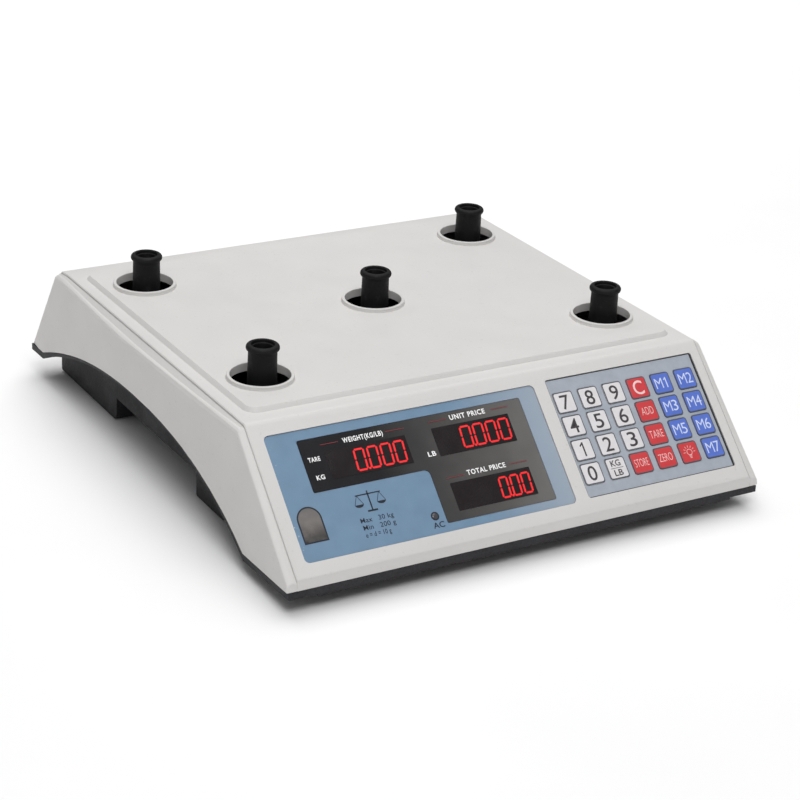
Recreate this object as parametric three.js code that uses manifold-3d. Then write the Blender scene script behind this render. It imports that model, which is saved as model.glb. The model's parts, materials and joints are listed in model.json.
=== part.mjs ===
// Price-computing bench scale, shown without its weighing pan.
// Millimetres. +X is the operator's right, the keys face -Y, +Z is up, the feet stand on Z = 0.
import * as THREE from 'three';
import { mergeVertices } from 'three/addons/utils/BufferGeometryUtils.js';
import Module from 'manifold-3d';

const wasm = await Module();
wasm.setup();

// ---------------------------------------------------------------- driving dimensions
const GAP = 0.3;                 // clearance left between neighbouring pieces

const FRONT_Y = -196.4;          // front lip of the cover
const REAR_Y = 196.4;            // rear foot of the cover
const TOP_Z = 91.7;              // flat border of the top
const FOLD_Y = -124.7;           // where the top turns down into the control slope
const LIP_TOP_Z = 22.9;          // where the control slope ends
const BAND_Y = 142;              // start of the shallow band along the rear edge
const REAR_TOP_Y = 154;          // where the rear face starts
const REAR_TOP_Z = 90.4;
const REAR_FOOT_Z = 26;
const FOLD_RADIUS = 3;
const LIP_RADIUS = 1.6;

const CORE_HALF = 164;           // raised middle of the cover
const CHEEK_HALF = 170.2;        // side cheeks at their lower edge
const CHEEK_DROP = 1.1;          // cheeks sit this much below the middle
const CHEEK_BOW = 2.2;           // outward bow of the cheek edge at mid length
const CHEEK_SAG = 2.8;           // downward bow of the cheek edge at mid length
const GROOVE_WIDTH = 0.9;
const GROOVE_DEPTH = 1;
const WALL = 3;
const SLOPE_WALL = 5.2;          // thicker wall behind the two control panels

const ARCH_CROWN_Y = 20;         // cut-out along the lower edge of each side
const ARCH_CROWN_Z = 54;
const ARCH_FRONT = { span: 158, fall: 39.7, power: 2.4 };
const ARCH_REAR = { span: 155.4, fall: 30.9, power: 2.05 };
const EDGE_FRONT_Z = 16.4;       // lower edge of the cover at the front lip
const EDGE_REAR_Z = 22.6;

const PLATEAU = { half: 155.8, front: -113.6, rear: 136, radius: 9, rise: 2.6, shoulder: 2.3 };
const POST_X = 126.8;            // post pattern, half spacing
const POST_Y = 85.4;
const POST_CENTRE_Y = 13.2;
const HOLE_RADIUS = 19;
const RING_RADIUS = 20.8;
const RING_TOP_Z = 96.7;

const TUB_HALF = 150;            // base tub, narrower than the cover
const TUB_FLOOR_Z = 17.7;
const BASE_WALL = 2.8;
const RIM_HALF = 169.8;
const RIM_HEIGHT = { end: 4.4, arch: 1.8 };
const RIM_GAP = 0.4;
const FRONT_FLOOR_Z = 9.6;

const FOOT_BLOCKS = [
  { name: 'rear', y0: 93, y1: 190 },
  { name: 'front', y0: -74.5, y1: -32.6 },
];
const FOOT_INNER_X = 118;
const FOOT_BLOCK_Z = 1.2;
const PAD_RADIUS = 9;
const PAD_HEIGHT = 2.1;

const POST_TOP_Z = 116.4;
const POST_HEAD_RADIUS = 10.5;
const POST_BODY_RADIUS = 9.2;
const POST_MOUTH_RADIUS = 7.1;
const POST_SOCKET_DEPTH = 16;
const PLATFORM_SHIFT_X = 1.2;    // the load platform sits slightly right of the holes
const PLATFORM_TRAVEL = 0.8;     // how far the posts sink at full load

const SPIDER_Z = 70;
const SPIDER_THICKNESS = 8;
const CELL = { length: 130, width: 30, height: 22, z: 34 };
const SPACER_LENGTH = 32;

const KEY_COLUMNS = 6;
const KEY_ROWS = 4;
const KEY_PITCH_X = 18.8;
const KEY_PITCH_S = 16.3;
const KEY_FIRST_X = 52.1;
const KEY_FIRST_S = 25.1;        // distances S run down the slope from the top fold
const KEY_SIZE = { w: 14.4, h: 14, r: 1.6 };
const KEY_BEVEL = 0.35;
const KEY_TOP_N = -0.2;          // heights N are measured outward from the slope
const KEY_THICKNESS = 1.2;

const OVERLAY_TOP_N = -0.7;
const OVERLAY_THICKNESS = 1;
const DISPLAY_PANEL = { x0: -155, x1: 33.6, s0: 9.9, s1: 90, r: 3 };
const KEYPAD_PANEL = { x0: 43.4, x1: 157, s0: 8.8, s1: 89, r: 1.4 };
const WINDOW = { x0: -135.4, x1: 21.2, s0: 16, s1: 85, innerX: -57.2, innerS: 49.8, r: 1.3, inner: 3.6 };
const LED_BLOCKS = [
  { name: 'weight_display', x0: -121.5, x1: -63.5, s0: 24.4, s1: 44.6 },
  { name: 'unit_price_display', x0: -47, x1: 10.4, s0: 24.4, s1: 44.6 },
  { name: 'total_price_display', x0: -47, x1: 10.4, s0: 60, s1: 80.2 },
];
const LED_DEPTH = 8;

// ---------------------------------------------------------------- colours
const SHELL_GREY = 0xd4d1cc;
const BASE_CHARCOAL = 0x3c3c40;
const RUBBER_BLACK = 0x212123;
const OVERLAY_BLUE = 0x789bbe;
const SMOKE = 0x34343a;
const KEYPAD_BLUE_GREY = 0x8c9baa;
const KEY_WHITE = 0xdbd7d8;
const KEY_RED = 0xcd4146;
const KEY_BLUE = 0x5a73c8;
const BOARD_GREEN = 0x2f6b45;
const LED_RED = 0xc8282c;
const ALUMINIUM = 0xb4b6b8;
const STEEL = 0x9a9c9f;

// ---------------------------------------------------------------- working frames
const AXIS_X = new THREE.Vector3(1, 0, 0);
const AXIS_Y = new THREE.Vector3(0, 1, 0);
const AXIS_Z = new THREE.Vector3(0, 0, 1);

function makeFrame(u, v, n, origin) {
  return new THREE.Matrix4().makeBasis(u, v, n).setPosition(origin);
}

// Outlines drawn in (Y, Z) and extruded along X.
const SIDE = makeFrame(AXIS_Y, AXIS_Z, AXIS_X, new THREE.Vector3());

// Control slope: (X, up the slope), outward normal. The origin lies on the top fold.
const slopeRun = new THREE.Vector2(FRONT_Y + 0.8 - FOLD_Y, LIP_TOP_Z - TOP_Z);
const SLOPE_UP = new THREE.Vector3(0, -slopeRun.x, -slopeRun.y).normalize();
const SLOPE_OUT = new THREE.Vector3().crossVectors(AXIS_X, SLOPE_UP);
const SLOPE = makeFrame(AXIS_X, SLOPE_UP, SLOPE_OUT, new THREE.Vector3(0, FOLD_Y, TOP_Z));

// Rear face: seen from behind, so the first axis runs toward -X.
const rearRun = new THREE.Vector2(REAR_Y - REAR_TOP_Y, REAR_FOOT_Z - REAR_TOP_Z);
const REAR_UP = new THREE.Vector3(0, -rearRun.x, -rearRun.y).normalize();
const REAR_U = AXIS_X.clone().negate();
const REAR_OUT = new THREE.Vector3().crossVectors(REAR_U, REAR_UP);
const REAR = makeFrame(REAR_U, REAR_UP, REAR_OUT, new THREE.Vector3(0, REAR_TOP_Y, REAR_TOP_Z));

// ---------------------------------------------------------------- solid helpers
function toSolid(geometry) {
  const bare = geometry.clone();
  bare.deleteAttribute('normal');
  bare.deleteAttribute('uv');
  const welded = mergeVertices(bare, 1e-4);
  return new wasm.Manifold(new wasm.Mesh({
    numProp: 3,
    vertProperties: new Float32Array(welded.attributes.position.array),
    triVerts: new Uint32Array(welded.index.array),
  }));
}

function toGeometry(solid) {
  const mesh = solid.getMesh();
  const geometry = new THREE.BufferGeometry();
  geometry.setAttribute('position', new THREE.BufferAttribute(new Float32Array(mesh.vertProperties), 3));
  geometry.setIndex(new THREE.BufferAttribute(new Uint32Array(mesh.triVerts), 1));
  geometry.computeVertexNormals();
  return geometry;
}

function join(first, ...others) {
  return others.reduce((sum, item) => sum.add(item), first);
}

function cut(first, ...others) {
  return others.reduce((rest, item) => rest.subtract(item), first);
}

// Extrusion of an outline from n0 to n1 along the third axis of a frame.
function slab(shape, n0, n1, frame = new THREE.Matrix4(), options = {}) {
  const geometry = new THREE.ExtrudeGeometry(shape, {
    depth: n1 - n0,
    bevelEnabled: false,
    curveSegments: 4,
    ...options,
  });
  geometry.translate(0, 0, n0);
  geometry.applyMatrix4(frame);
  return geometry;
}

function solidSlab(shape, n0, n1, frame, options) {
  return toSolid(slab(shape, n0, n1, frame, options));
}

function polygon(points) {
  return new THREE.Shape(points.map(([a, b]) => new THREE.Vector2(a, b)));
}

function roundedRect(x0, y0, x1, y1, r) {
  const shape = new THREE.Shape();
  shape.absarc(x1 - r, y1 - r, r, 0, Math.PI / 2);
  shape.absarc(x0 + r, y1 - r, r, Math.PI / 2, Math.PI);
  shape.absarc(x0 + r, y0 + r, r, Math.PI, 1.5 * Math.PI);
  shape.absarc(x1 - r, y0 + r, r, 1.5 * Math.PI, 2 * Math.PI);
  return shape;
}

// The same rounded rectangle given by distances down the slope.
function slopeRect(p, grow = 0) {
  return roundedRect(p.x0 - grow, -p.s1 - grow, p.x1 + grow, -p.s0 + grow, p.r + grow);
}

function box(x0, x1, y0, y1, z0, z1) {
  const geometry = new THREE.BoxGeometry(x1 - x0, y1 - y0, z1 - z0);
  geometry.translate((x0 + x1) / 2, (y0 + y1) / 2, (z0 + z1) / 2);
  return toSolid(geometry);
}

function rod(radius, x, y, z0, z1, segments = 24) {
  const geometry = new THREE.CylinderGeometry(radius, radius, z1 - z0, segments);
  geometry.rotateX(Math.PI / 2);
  geometry.translate(x, y, (z0 + z1) / 2);
  return toSolid(geometry);
}

// Body of revolution about a vertical axis through (x, y); profile of [radius, z].
function revolve(profile, x, y, segments) {
  const points = profile.map(([r, z]) => new THREE.Vector2(r, z));
  const geometry = new THREE.LatheGeometry(points, segments);
  geometry.rotateX(Math.PI / 2);
  geometry.translate(x, y, 0);
  return geometry;
}

function arc(cx, cy, r, from, to, steps) {
  const points = [];
  for (let i = 0; i <= steps; i += 1) {
    const a = THREE.MathUtils.degToRad(from + ((to - from) * i) / steps);
    points.push([cx + r * Math.cos(a), cy + r * Math.sin(a)]);
  }
  return points;
}

// Skin between equal rings of points, closed with a flat cap at each end.
function loft(rings) {
  const count = rings[0].length;
  const outline = rings[0].map((p) => new THREE.Vector2(p[0], p[2]));
  const caps = THREE.ShapeUtils.triangulateShape(outline, []);
  const index = [];
  const last = (rings.length - 1) * count;
  for (let i = 0; i + 1 < rings.length; i += 1) {
    for (let j = 0; j < count; j += 1) {
      const k = (j + 1) % count;
      const a = i * count;
      const b = a + count;
      index.push(a + j, b + k, a + k, a + j, b + j, b + k);
    }
  }
  caps.forEach(([a, b, c]) => index.push(a, b, c, last + a, last + c, last + b));
  const geometry = new THREE.BufferGeometry();
  geometry.setAttribute('position', new THREE.Float32BufferAttribute(rings.flat(2), 3));
  geometry.setIndex(index);
  return geometry;
}

// ---------------------------------------------------------------- shared curves
// Rounds one corner of a side profile with a short arc of chords.
function fillet(before, corner, after, radius, steps) {
  const p = new THREE.Vector2(...corner);
  const u = new THREE.Vector2(...before).sub(p).normalize();
  const w = new THREE.Vector2(...after).sub(p).normalize();
  const reach = radius / Math.tan(Math.acos(u.dot(w)) / 2);
  const curve = new THREE.QuadraticBezierCurve(
    p.clone().addScaledVector(u, reach),
    p,
    p.clone().addScaledVector(w, reach),
  );
  return curve.getPoints(steps).map((q) => [q.x, q.y]);
}

const PROFILE_CORNERS = [
  [FRONT_Y, EDGE_FRONT_Z],
  [FRONT_Y + 0.8, LIP_TOP_Z],
  [FOLD_Y, TOP_Z],
  [BAND_Y, TOP_Z],
  [REAR_TOP_Y, REAR_TOP_Z],
  [REAR_Y, REAR_FOOT_Z],
];

// Height of the middle of the cover against Y, with its folds rounded.
const TOP_PROFILE = [
  PROFILE_CORNERS[0],
  ...fillet(PROFILE_CORNERS[0], PROFILE_CORNERS[1], PROFILE_CORNERS[2], LIP_RADIUS, 3),
  ...fillet(PROFILE_CORNERS[1], PROFILE_CORNERS[2], PROFILE_CORNERS[3], FOLD_RADIUS * 1.6, 4),
  PROFILE_CORNERS[3],
  ...fillet(PROFILE_CORNERS[3], PROFILE_CORNERS[4], PROFILE_CORNERS[5], FOLD_RADIUS, 3),
  PROFILE_CORNERS[5],
];

function topZ(y) {
  const next = TOP_PROFILE.findIndex((p) => p[0] >= y);
  if (next <= 0) return TOP_PROFILE[Math.max(next, 0)][1];
  const [y0, z0] = TOP_PROFILE[next - 1];
  const [y1, z1] = TOP_PROFILE[next];
  return z0 + ((z1 - z0) * (y - y0)) / (y1 - y0);
}

// Lower edge of the cover side: flat at both ends, arched in between.
function edgeZ(y) {
  const side = y < ARCH_CROWN_Y ? ARCH_FRONT : ARCH_REAR;
  const t = Math.abs(y - ARCH_CROWN_Y) / side.span;
  if (t <= 1) return ARCH_CROWN_Z - side.fall * t ** side.power;
  const end = ARCH_CROWN_Z - side.fall;
  const tip = side === ARCH_FRONT ? EDGE_FRONT_Z : EDGE_REAR_Z;
  const reach = side === ARCH_FRONT ? ARCH_CROWN_Y - FRONT_Y : REAR_Y - ARCH_CROWN_Y;
  const along = (t * side.span - side.span) / (reach - side.span);
  return end + (tip - end) * along;
}

function archStations() {
  const stations = [FRONT_Y, ARCH_CROWN_Y - ARCH_FRONT.span];
  const steps = 11;
  for (let i = 1; i < steps; i += 1) stations.push(ARCH_CROWN_Y - ARCH_FRONT.span * (1 - i / steps) ** 0.75);
  for (let i = 0; i < steps; i += 1) stations.push(ARCH_CROWN_Y + ARCH_REAR.span * (i / steps) ** 0.85);
  stations.push(ARCH_CROWN_Y + ARCH_REAR.span, REAR_Y);
  return stations;
}

const EDGE_CURVE = archStations().map((y) => [y, edgeZ(y)]);

function shifted(points, drop) {
  return points.map(([y, z]) => [y, z - drop(y)]);
}

// Height of the base's rim band: full at both ends, thin along the arch.
function rimHeight(y) {
  const side = y < ARCH_CROWN_Y ? ARCH_FRONT : ARCH_REAR;
  const t = Math.min(1, Math.abs(y - ARCH_CROWN_Y) / side.span);
  return RIM_HEIGHT.arch + (RIM_HEIGHT.end - RIM_HEIGHT.arch) * t ** 6;
}

// ---------------------------------------------------------------- cover
// Outline of the cover across X at one station: cheek, groove, middle, groove, cheek.
function coverSection(y, z) {
  const bow = Math.max(0, 1 - ((y - 12) / 150) ** 2);
  const frontFlare = 2.2 * Math.max(0, (FOLD_Y - y) / (FOLD_Y - FRONT_Y));
  const edgeX = 168.6 + frontFlare + CHEEK_BOW * bow;
  const cheekZ = z - CHEEK_DROP;
  const edge = cheekZ - 0.4 - CHEEK_SAG * bow;
  const grooveX = CORE_HALF + GROOVE_WIDTH;
  const half = [
    [CHEEK_HALF, -5],
    [edgeX, edge - 3],
    [edgeX - 0.5, edge - 1.4],
    [edgeX - 1.7, edge - 0.35],
    [edgeX - 3, edge],
    [grooveX, cheekZ],
    [grooveX - 0.2, cheekZ - GROOVE_DEPTH],
    [CORE_HALF, cheekZ - GROOVE_DEPTH],
    [CORE_HALF, z - 0.6],
    [CORE_HALF - 0.6, z],
  ];
  const mirrored = half.map(([x, h]) => [-x, h]).reverse();
  return [...half, ...mirrored].map(([x, h]) => [x, y, h]);
}

function coverOuter() {
  const stations = [...TOP_PROFILE];
  const bays = 13;
  const span = TOP_PROFILE.findIndex((p) => p[0] === BAND_Y);
  const [startY] = TOP_PROFILE[span - 1];
  for (let i = 1; i < bays; i += 1) stations.push([startY + ((BAND_Y - startY) * i) / bays, TOP_Z]);
  stations.sort((a, b) => a[0] - b[0]);
  return toSolid(loft(stations.map(([y, z]) => coverSection(y, z))));
}

function cavity(dx, drop) {
  const slopeShift = SLOPE_WALL / SLOPE_OUT.z;
  const rearShift = WALL / REAR_OUT.y;
  const lidZ = TOP_Z - WALL - drop;
  const slopeY = (z) => FOLD_Y + ((z + slopeShift - TOP_Z) / SLOPE_UP.z) * SLOPE_UP.y;
  const rearY = (z) => REAR_TOP_Y - rearShift + ((z - REAR_TOP_Z) / REAR_UP.z) * REAR_UP.y;
  const lipY = FRONT_Y + WALL;
  const lipZ = TOP_Z - slopeShift - ((FOLD_Y - lipY) / SLOPE_UP.y) * SLOPE_UP.z;
  const outline = polygon([
    [lipY, -6],
    [rearY(10), -6],
    [rearY(10), 10],
    [rearY(lidZ - 1), lidZ - 1],
    [rearY(lidZ) - 6, lidZ],
    [slopeY(lidZ), lidZ],
    [lipY, lipZ],
  ]);
  return solidSlab(outline, -dx, dx, SIDE);
}

function belowEdge() {
  const outline = polygon([[FRONT_Y - 5, -20], [REAR_Y + 5, -20], [REAR_Y + 5, EDGE_REAR_Z],
    ...[...EDGE_CURVE].reverse(), [FRONT_Y - 5, EDGE_FRONT_Z]]);
  return solidSlab(outline, -200, 200, SIDE);
}

function plateau() {
  const { half, front, rear, radius, rise, shoulder } = PLATEAU;
  const top = roundedRect(-half + shoulder, front + shoulder, half - shoulder, rear - shoulder, radius - shoulder);
  return solidSlab(top, TOP_Z - 1.5, TOP_Z + 0.01, undefined, {
    bevelEnabled: true,
    bevelThickness: rise - 0.01,
    bevelSize: shoulder,
    bevelSegments: 1,
  });
}

function plateauHollow() {
  const { half, front, rear, radius, rise } = PLATEAU;
  const inset = 3.6;
  const outline = roundedRect(-half + inset, front + inset, half - inset, rear - inset, radius - inset);
  return solidSlab(outline, TOP_Z - WALL - 2, TOP_Z + rise - WALL + 0.3);
}

const POSTS = [
  { name: 'post_rear_left', x: -POST_X, y: POST_CENTRE_Y + POST_Y },
  { name: 'post_rear_right', x: POST_X, y: POST_CENTRE_Y + POST_Y },
  { name: 'post_front_left', x: -POST_X, y: POST_CENTRE_Y - POST_Y },
  { name: 'post_front_right', x: POST_X, y: POST_CENTRE_Y - POST_Y },
  { name: 'post_centre', x: 0, y: POST_CENTRE_Y - 1.2 },
];

function ringCollar(p) {
  const bottom = TOP_Z - 0.2;
  const profile = [
    [HOLE_RADIUS, bottom],
    [RING_RADIUS + 1.2, bottom],
    [RING_RADIUS, RING_TOP_Z - 0.6],
    [RING_RADIUS - 0.6, RING_TOP_Z],
    [HOLE_RADIUS, RING_TOP_Z],
    [HOLE_RADIUS, bottom],
  ];
  return toSolid(revolve(profile, p.x, p.y, 36));
}

const CASE_SCREWS = [
  { name: 'case_screw_rear_left', x: -108, y: 172 },
  { name: 'case_screw_rear_right', x: 108, y: 172 },
  { name: 'case_screw_front_left', x: -141.6, y: -158 },
  { name: 'case_screw_front_right', x: 141.6, y: -158 },
];
const BOSS_RADIUS = 5;
const SCREW_RADIUS = 1.9;
const SCREW_HEAD_RADIUS = 3.8;
const SCREW_LENGTH = 22;

function floorZ(y) {
  return y < -140 ? FRONT_FLOOR_Z : TUB_FLOOR_Z;
}

function windowShape(grow) {
  const { x0, x1, s0, s1, innerX, innerS, r, inner } = WINDOW;
  const shape = new THREE.Shape();
  const q = Math.PI / 2;
  shape.absarc(x1 - r, -s0 - r, r + grow, 0, q);
  shape.absarc(x0 + r, -s0 - r, r + grow, q, 2 * q);
  shape.absarc(x0 + r, -innerS + r, r + grow, 2 * q, 3 * q);
  shape.absarc(innerX - inner, -innerS - inner, inner - grow, q, 0, true);
  shape.absarc(innerX + r, -s1 + r, r + grow, 2 * q, 3 * q);
  shape.absarc(x1 - r, -s1 + r, r + grow, 3 * q, 4 * q);
  return shape;
}

const REAR_PANEL = { half: 98, top: -14, bottom: -58, r: 4 };

function buildCover() {
  let cover = coverOuter();
  cover = cut(cover, belowEdge());
  cover = join(cover, plateau());
  cover = cut(cover, cavity(CORE_HALF - 3, 0), cavity(CHEEK_HALF - WALL, CHEEK_DROP + CHEEK_SAG - 0.6));
  cover = cut(cover, plateauHollow());
  POSTS.forEach((p) => {
    cover = join(cover, ringCollar(p));
    cover = cut(cover, rod(HOLE_RADIUS, p.x, p.y, TOP_Z - 10, TOP_Z + 10, 36));
  });
  CASE_SCREWS.forEach((s) => {
    const start = floorZ(s.y) + BASE_WALL + GAP + 0.2;
    const end = Math.min(topZ(s.y - BOSS_RADIUS), topZ(s.y + BOSS_RADIUS)) - 2;
    const bore = SCREW_RADIUS + GAP;
    cover = join(cover, rod(BOSS_RADIUS, s.x, s.y, start, end));
    cover = cut(cover, rod(bore, s.x, s.y, start - 5, start + SCREW_LENGTH));
  });
  const ledge = OVERLAY_TOP_N - OVERLAY_THICKNESS - GAP;
  cover = cut(
    cover,
    solidSlab(slopeRect(DISPLAY_PANEL, GAP), ledge, 5, SLOPE),
    solidSlab(slopeRect(KEYPAD_PANEL, GAP), ledge - 1.1, 5, SLOPE),
    solidSlab(windowShape(-0.8), -20, 0, SLOPE),
  );
  const { half, top, bottom, r } = REAR_PANEL;
  cover = cut(
    cover,
    solidSlab(roundedRect(-half - GAP, bottom - GAP, half + GAP, top + GAP, r), -1.5, 5, REAR),
    solidSlab(roundedRect(-half + 4, bottom + 4, half - 4, top - 4, r), -9, 0, REAR),
  );
  return toGeometry(cover);
}

// ---------------------------------------------------------------- base
const BATTERY = { x: 35, y0: -112, y1: -11, z: 47 };
const INLET = { y: 52, z: 31.5, w: 27, h: 19.6 };
const SWITCH = { y: 8, z: 32, w: 19.4, h: 13 };

// Opening through the right-hand tub wall.
function wallHole(p, grow) {
  const outline = roundedRect(p.y - p.w / 2 - grow, p.z - p.h / 2 - grow, p.y + p.w / 2 + grow,
    p.z + p.h / 2 + grow, 1);
  return solidSlab(outline, TUB_HALF - 12, TUB_HALF + 5, SIDE);
}

function footBlock(side, block) {
  const bevel = 3;
  const outline = polygon([
    [block.y0 + bevel, FOOT_BLOCK_Z],
    [block.y1 - 1, FOOT_BLOCK_Z],
    [block.y1, FOOT_BLOCK_Z + 1],
    [block.y1, TUB_FLOOR_Z + 1],
    [block.y0, TUB_FLOOR_Z + 1],
    [block.y0, FOOT_BLOCK_Z + bevel],
  ]);
  return side > 0 ? solidSlab(outline, FOOT_INNER_X, TUB_HALF, SIDE)
    : solidSlab(outline, -TUB_HALF, -FOOT_INNER_X, SIDE);
}

function footHollow(side, block) {
  const x0 = side > 0 ? FOOT_INNER_X + BASE_WALL : -TUB_HALF + BASE_WALL;
  const x1 = side > 0 ? TUB_HALF - BASE_WALL : -FOOT_INNER_X - BASE_WALL;
  return box(x0, x1, block.y0 + BASE_WALL, block.y1 - BASE_WALL - 3, FOOT_BLOCK_Z + 3, TUB_FLOOR_Z + 5);
}

function padPlaces() {
  const places = [];
  FOOT_BLOCKS.forEach((block) => {
    [-1, 1].forEach((side) => {
      const y = block.name === 'rear' ? block.y1 - 24 : (block.y0 + block.y1) / 2;
      const name = `rubber_foot_${block.name}_${side < 0 ? 'left' : 'right'}`;
      places.push({ name, x: (side * (TUB_HALF + FOOT_INNER_X)) / 2, y });
    });
  });
  return places;
}

function buildBase() {
  const top = shifted(EDGE_CURVE, () => RIM_GAP);
  const bottom = shifted(EDGE_CURVE, (y) => RIM_GAP + rimHeight(y));
  const rim = polygon([...bottom, ...top.slice().reverse()]);
  let base = solidSlab(rim, -RIM_HALF, RIM_HALF, SIDE);

  const tubFrontY = FRONT_Y + 1;
  const tubRearY = REAR_Y - 4;
  const crest = top.filter(([y]) => y > tubFrontY && y < tubRearY);
  const tub = polygon([
    [tubFrontY, FRONT_FLOOR_Z],
    [-144, FRONT_FLOOR_Z],
    [-128, TUB_FLOOR_Z],
    [tubRearY, TUB_FLOOR_Z],
    [tubRearY, edgeZ(tubRearY) - RIM_GAP],
    ...crest.slice().reverse(),
    [tubFrontY, edgeZ(tubFrontY) - RIM_GAP],
  ]);
  base = join(base, solidSlab(tub, -TUB_HALF, TUB_HALF, SIDE));
  FOOT_BLOCKS.forEach((block) => {
    base = join(base, footBlock(-1, block), footBlock(1, block));
  });

  const inner = polygon([
    [tubFrontY + BASE_WALL, FRONT_FLOOR_Z + BASE_WALL],
    [-144.6, FRONT_FLOOR_Z + BASE_WALL],
    [-128.6, TUB_FLOOR_Z + BASE_WALL],
    [tubRearY - BASE_WALL, TUB_FLOOR_Z + BASE_WALL],
    [tubRearY - BASE_WALL, 120],
    [tubFrontY + BASE_WALL, 120],
  ]);
  const innerHalf = TUB_HALF - BASE_WALL;
  base = cut(base, solidSlab(inner, -innerHalf, innerHalf, SIDE));
  FOOT_BLOCKS.forEach((block) => {
    base = cut(base, footHollow(-1, block), footHollow(1, block));
  });
  padPlaces().forEach((p) => {
    base = cut(base, rod(PAD_RADIUS + GAP, p.x, p.y, -1, PAD_HEIGHT + GAP));
  });
  CASE_SCREWS.forEach((s) => {
    const floor = floorZ(s.y);
    base = cut(
      base,
      rod(SCREW_RADIUS + GAP, s.x, s.y, floor - 1, floor + 5),
      rod(SCREW_HEAD_RADIUS + GAP, s.x, s.y, floor - 1, floor + 1.4),
    );
  });
  const { x, y0, y1 } = BATTERY;
  base = cut(
    base,
    box(-x - 3, x + 3, y0 - 3, y1 + 3, TUB_FLOOR_Z - 1, TUB_FLOOR_Z + 1.6),
    box(-x - 0.5, x + 0.5, y0 - 0.5, y1 + 0.5, TUB_FLOOR_Z, TUB_FLOOR_Z + 5),
    wallHole(INLET, GAP),
    wallHole(SWITCH, GAP),
  );
  const ribX = BATTERY.x + 2.5;
  base = join(
    base,
    box(-ribX - 2.4, -ribX - 0.2, y0, y1, TUB_FLOOR_Z + 2, TUB_FLOOR_Z + 14),
    box(ribX + 0.2, ribX + 2.4, y0, y1, TUB_FLOOR_Z + 2, TUB_FLOOR_Z + 14),
  );
  return toGeometry(base);
}

function buildPad(p) {
  const profile = [
    [0, 0],
    [PAD_RADIUS - 0.6, 0],
    [PAD_RADIUS, 0.6],
    [PAD_RADIUS, PAD_HEIGHT],
    [0, PAD_HEIGHT],
  ];
  return revolve(profile, p.x, p.y, 24);
}

function buildScrew(s) {
  const floor = floorZ(s.y);
  const headTop = floor + 1.4 - GAP;
  const head = cut(
    rod(SCREW_HEAD_RADIUS, s.x, s.y, floor - 1.2, headTop),
    box(s.x - 2.6, s.x + 2.6, s.y - 0.5, s.y + 0.5, floor - 2, floor - 0.2),
    box(s.x - 0.5, s.x + 0.5, s.y - 2.6, s.y + 2.6, floor - 2, floor - 0.2),
  );
  return toGeometry(join(head, rod(SCREW_RADIUS, s.x, s.y, floor, floor + SCREW_LENGTH)));
}

function buildBatteryDoor() {
  const { x, y0, y1 } = BATTERY;
  const plate = box(-x - 2.7, x + 2.7, y0 - 2.7, y1 + 2.7, TUB_FLOOR_Z, TUB_FLOOR_Z + 1.3);
  const grip = box(-12, 12, y1 - 12, y1 - 9, TUB_FLOOR_Z - 1, TUB_FLOOR_Z + 0.6);
  return toGeometry(cut(plate, grip));
}

function buildBattery() {
  const { x, y0, y1, z } = BATTERY;
  const floor = TUB_FLOOR_Z + BASE_WALL + GAP;
  const inset = 0.5;
  const body = box(-x + inset, x - inset, y0 + inset, y1 - inset, floor, floor + z - 6);
  const tab = (tx) => box(tx - 2.4, tx + 2.4, y1 - 8, y1 - 7.2, floor + z - 7, floor + z - 1);
  const lid = box(-x + 4, x - 4, y0 + 14, y1 - 14, floor + z - 7, floor + z - 4);
  return toGeometry(join(body, lid, tab(-20), tab(20)));
}

// ---------------------------------------------------------------- control panels
function buildDisplayOverlay() {
  const low = OVERLAY_TOP_N - OVERLAY_THICKNESS;
  return toGeometry(cut(
    solidSlab(slopeRect(DISPLAY_PANEL), low, OVERLAY_TOP_N, SLOPE),
    solidSlab(windowShape(0), low - 1, 1, SLOPE),
  ));
}

function buildDisplayWindow() {
  const low = OVERLAY_TOP_N - OVERLAY_THICKNESS;
  return slab(windowShape(-GAP), low, OVERLAY_TOP_N - 0.1, SLOPE);
}

function keyCentre(row, column) {
  return { x: KEY_FIRST_X + column * KEY_PITCH_X, v: -(KEY_FIRST_S + row * KEY_PITCH_S) };
}

function keyOutline(row, column, grow) {
  const c = keyCentre(row, column);
  const w = KEY_SIZE.w / 2 + grow;
  const h = KEY_SIZE.h / 2 + grow;
  return roundedRect(c.x - w, c.v - h, c.x + w, c.v + h, KEY_SIZE.r + grow);
}

function buildKeypadOverlay() {
  const low = OVERLAY_TOP_N - OVERLAY_THICKNESS;
  const plate = slopeRect(KEYPAD_PANEL);
  for (let row = 0; row < KEY_ROWS; row += 1) {
    for (let column = 0; column < KEY_COLUMNS; column += 1) {
      plate.holes.push(keyOutline(row, column, GAP));
    }
  }
  return slab(plate, low, OVERLAY_TOP_N, SLOPE, { curveSegments: 2 });
}

function buildKeypadBoard() {
  const top = OVERLAY_TOP_N - OVERLAY_THICKNESS - GAP;
  return slab(slopeRect(KEYPAD_PANEL, -0.4), top - 0.8, top, SLOPE);
}

function buildKey(row, column) {
  const low = KEY_TOP_N - KEY_THICKNESS + KEY_BEVEL;
  return slab(keyOutline(row, column, -KEY_BEVEL), low, KEY_TOP_N - KEY_BEVEL, SLOPE, {
    bevelEnabled: true,
    bevelThickness: KEY_BEVEL,
    bevelSize: KEY_BEVEL,
    bevelSegments: 1,
    curveSegments: 2,
  });
}

function buildLedBlock(block) {
  const top = OVERLAY_TOP_N - OVERLAY_THICKNESS - 0.5;
  const outline = polygon([
    [block.x0, -block.s1],
    [block.x1, -block.s1],
    [block.x1, -block.s0],
    [block.x0, -block.s0],
  ]);
  return slab(outline, top - LED_DEPTH, top, SLOPE);
}

const DISPLAY_BOARD_N = OVERLAY_TOP_N - OVERLAY_THICKNESS - 0.5 - LED_DEPTH - GAP;

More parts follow.
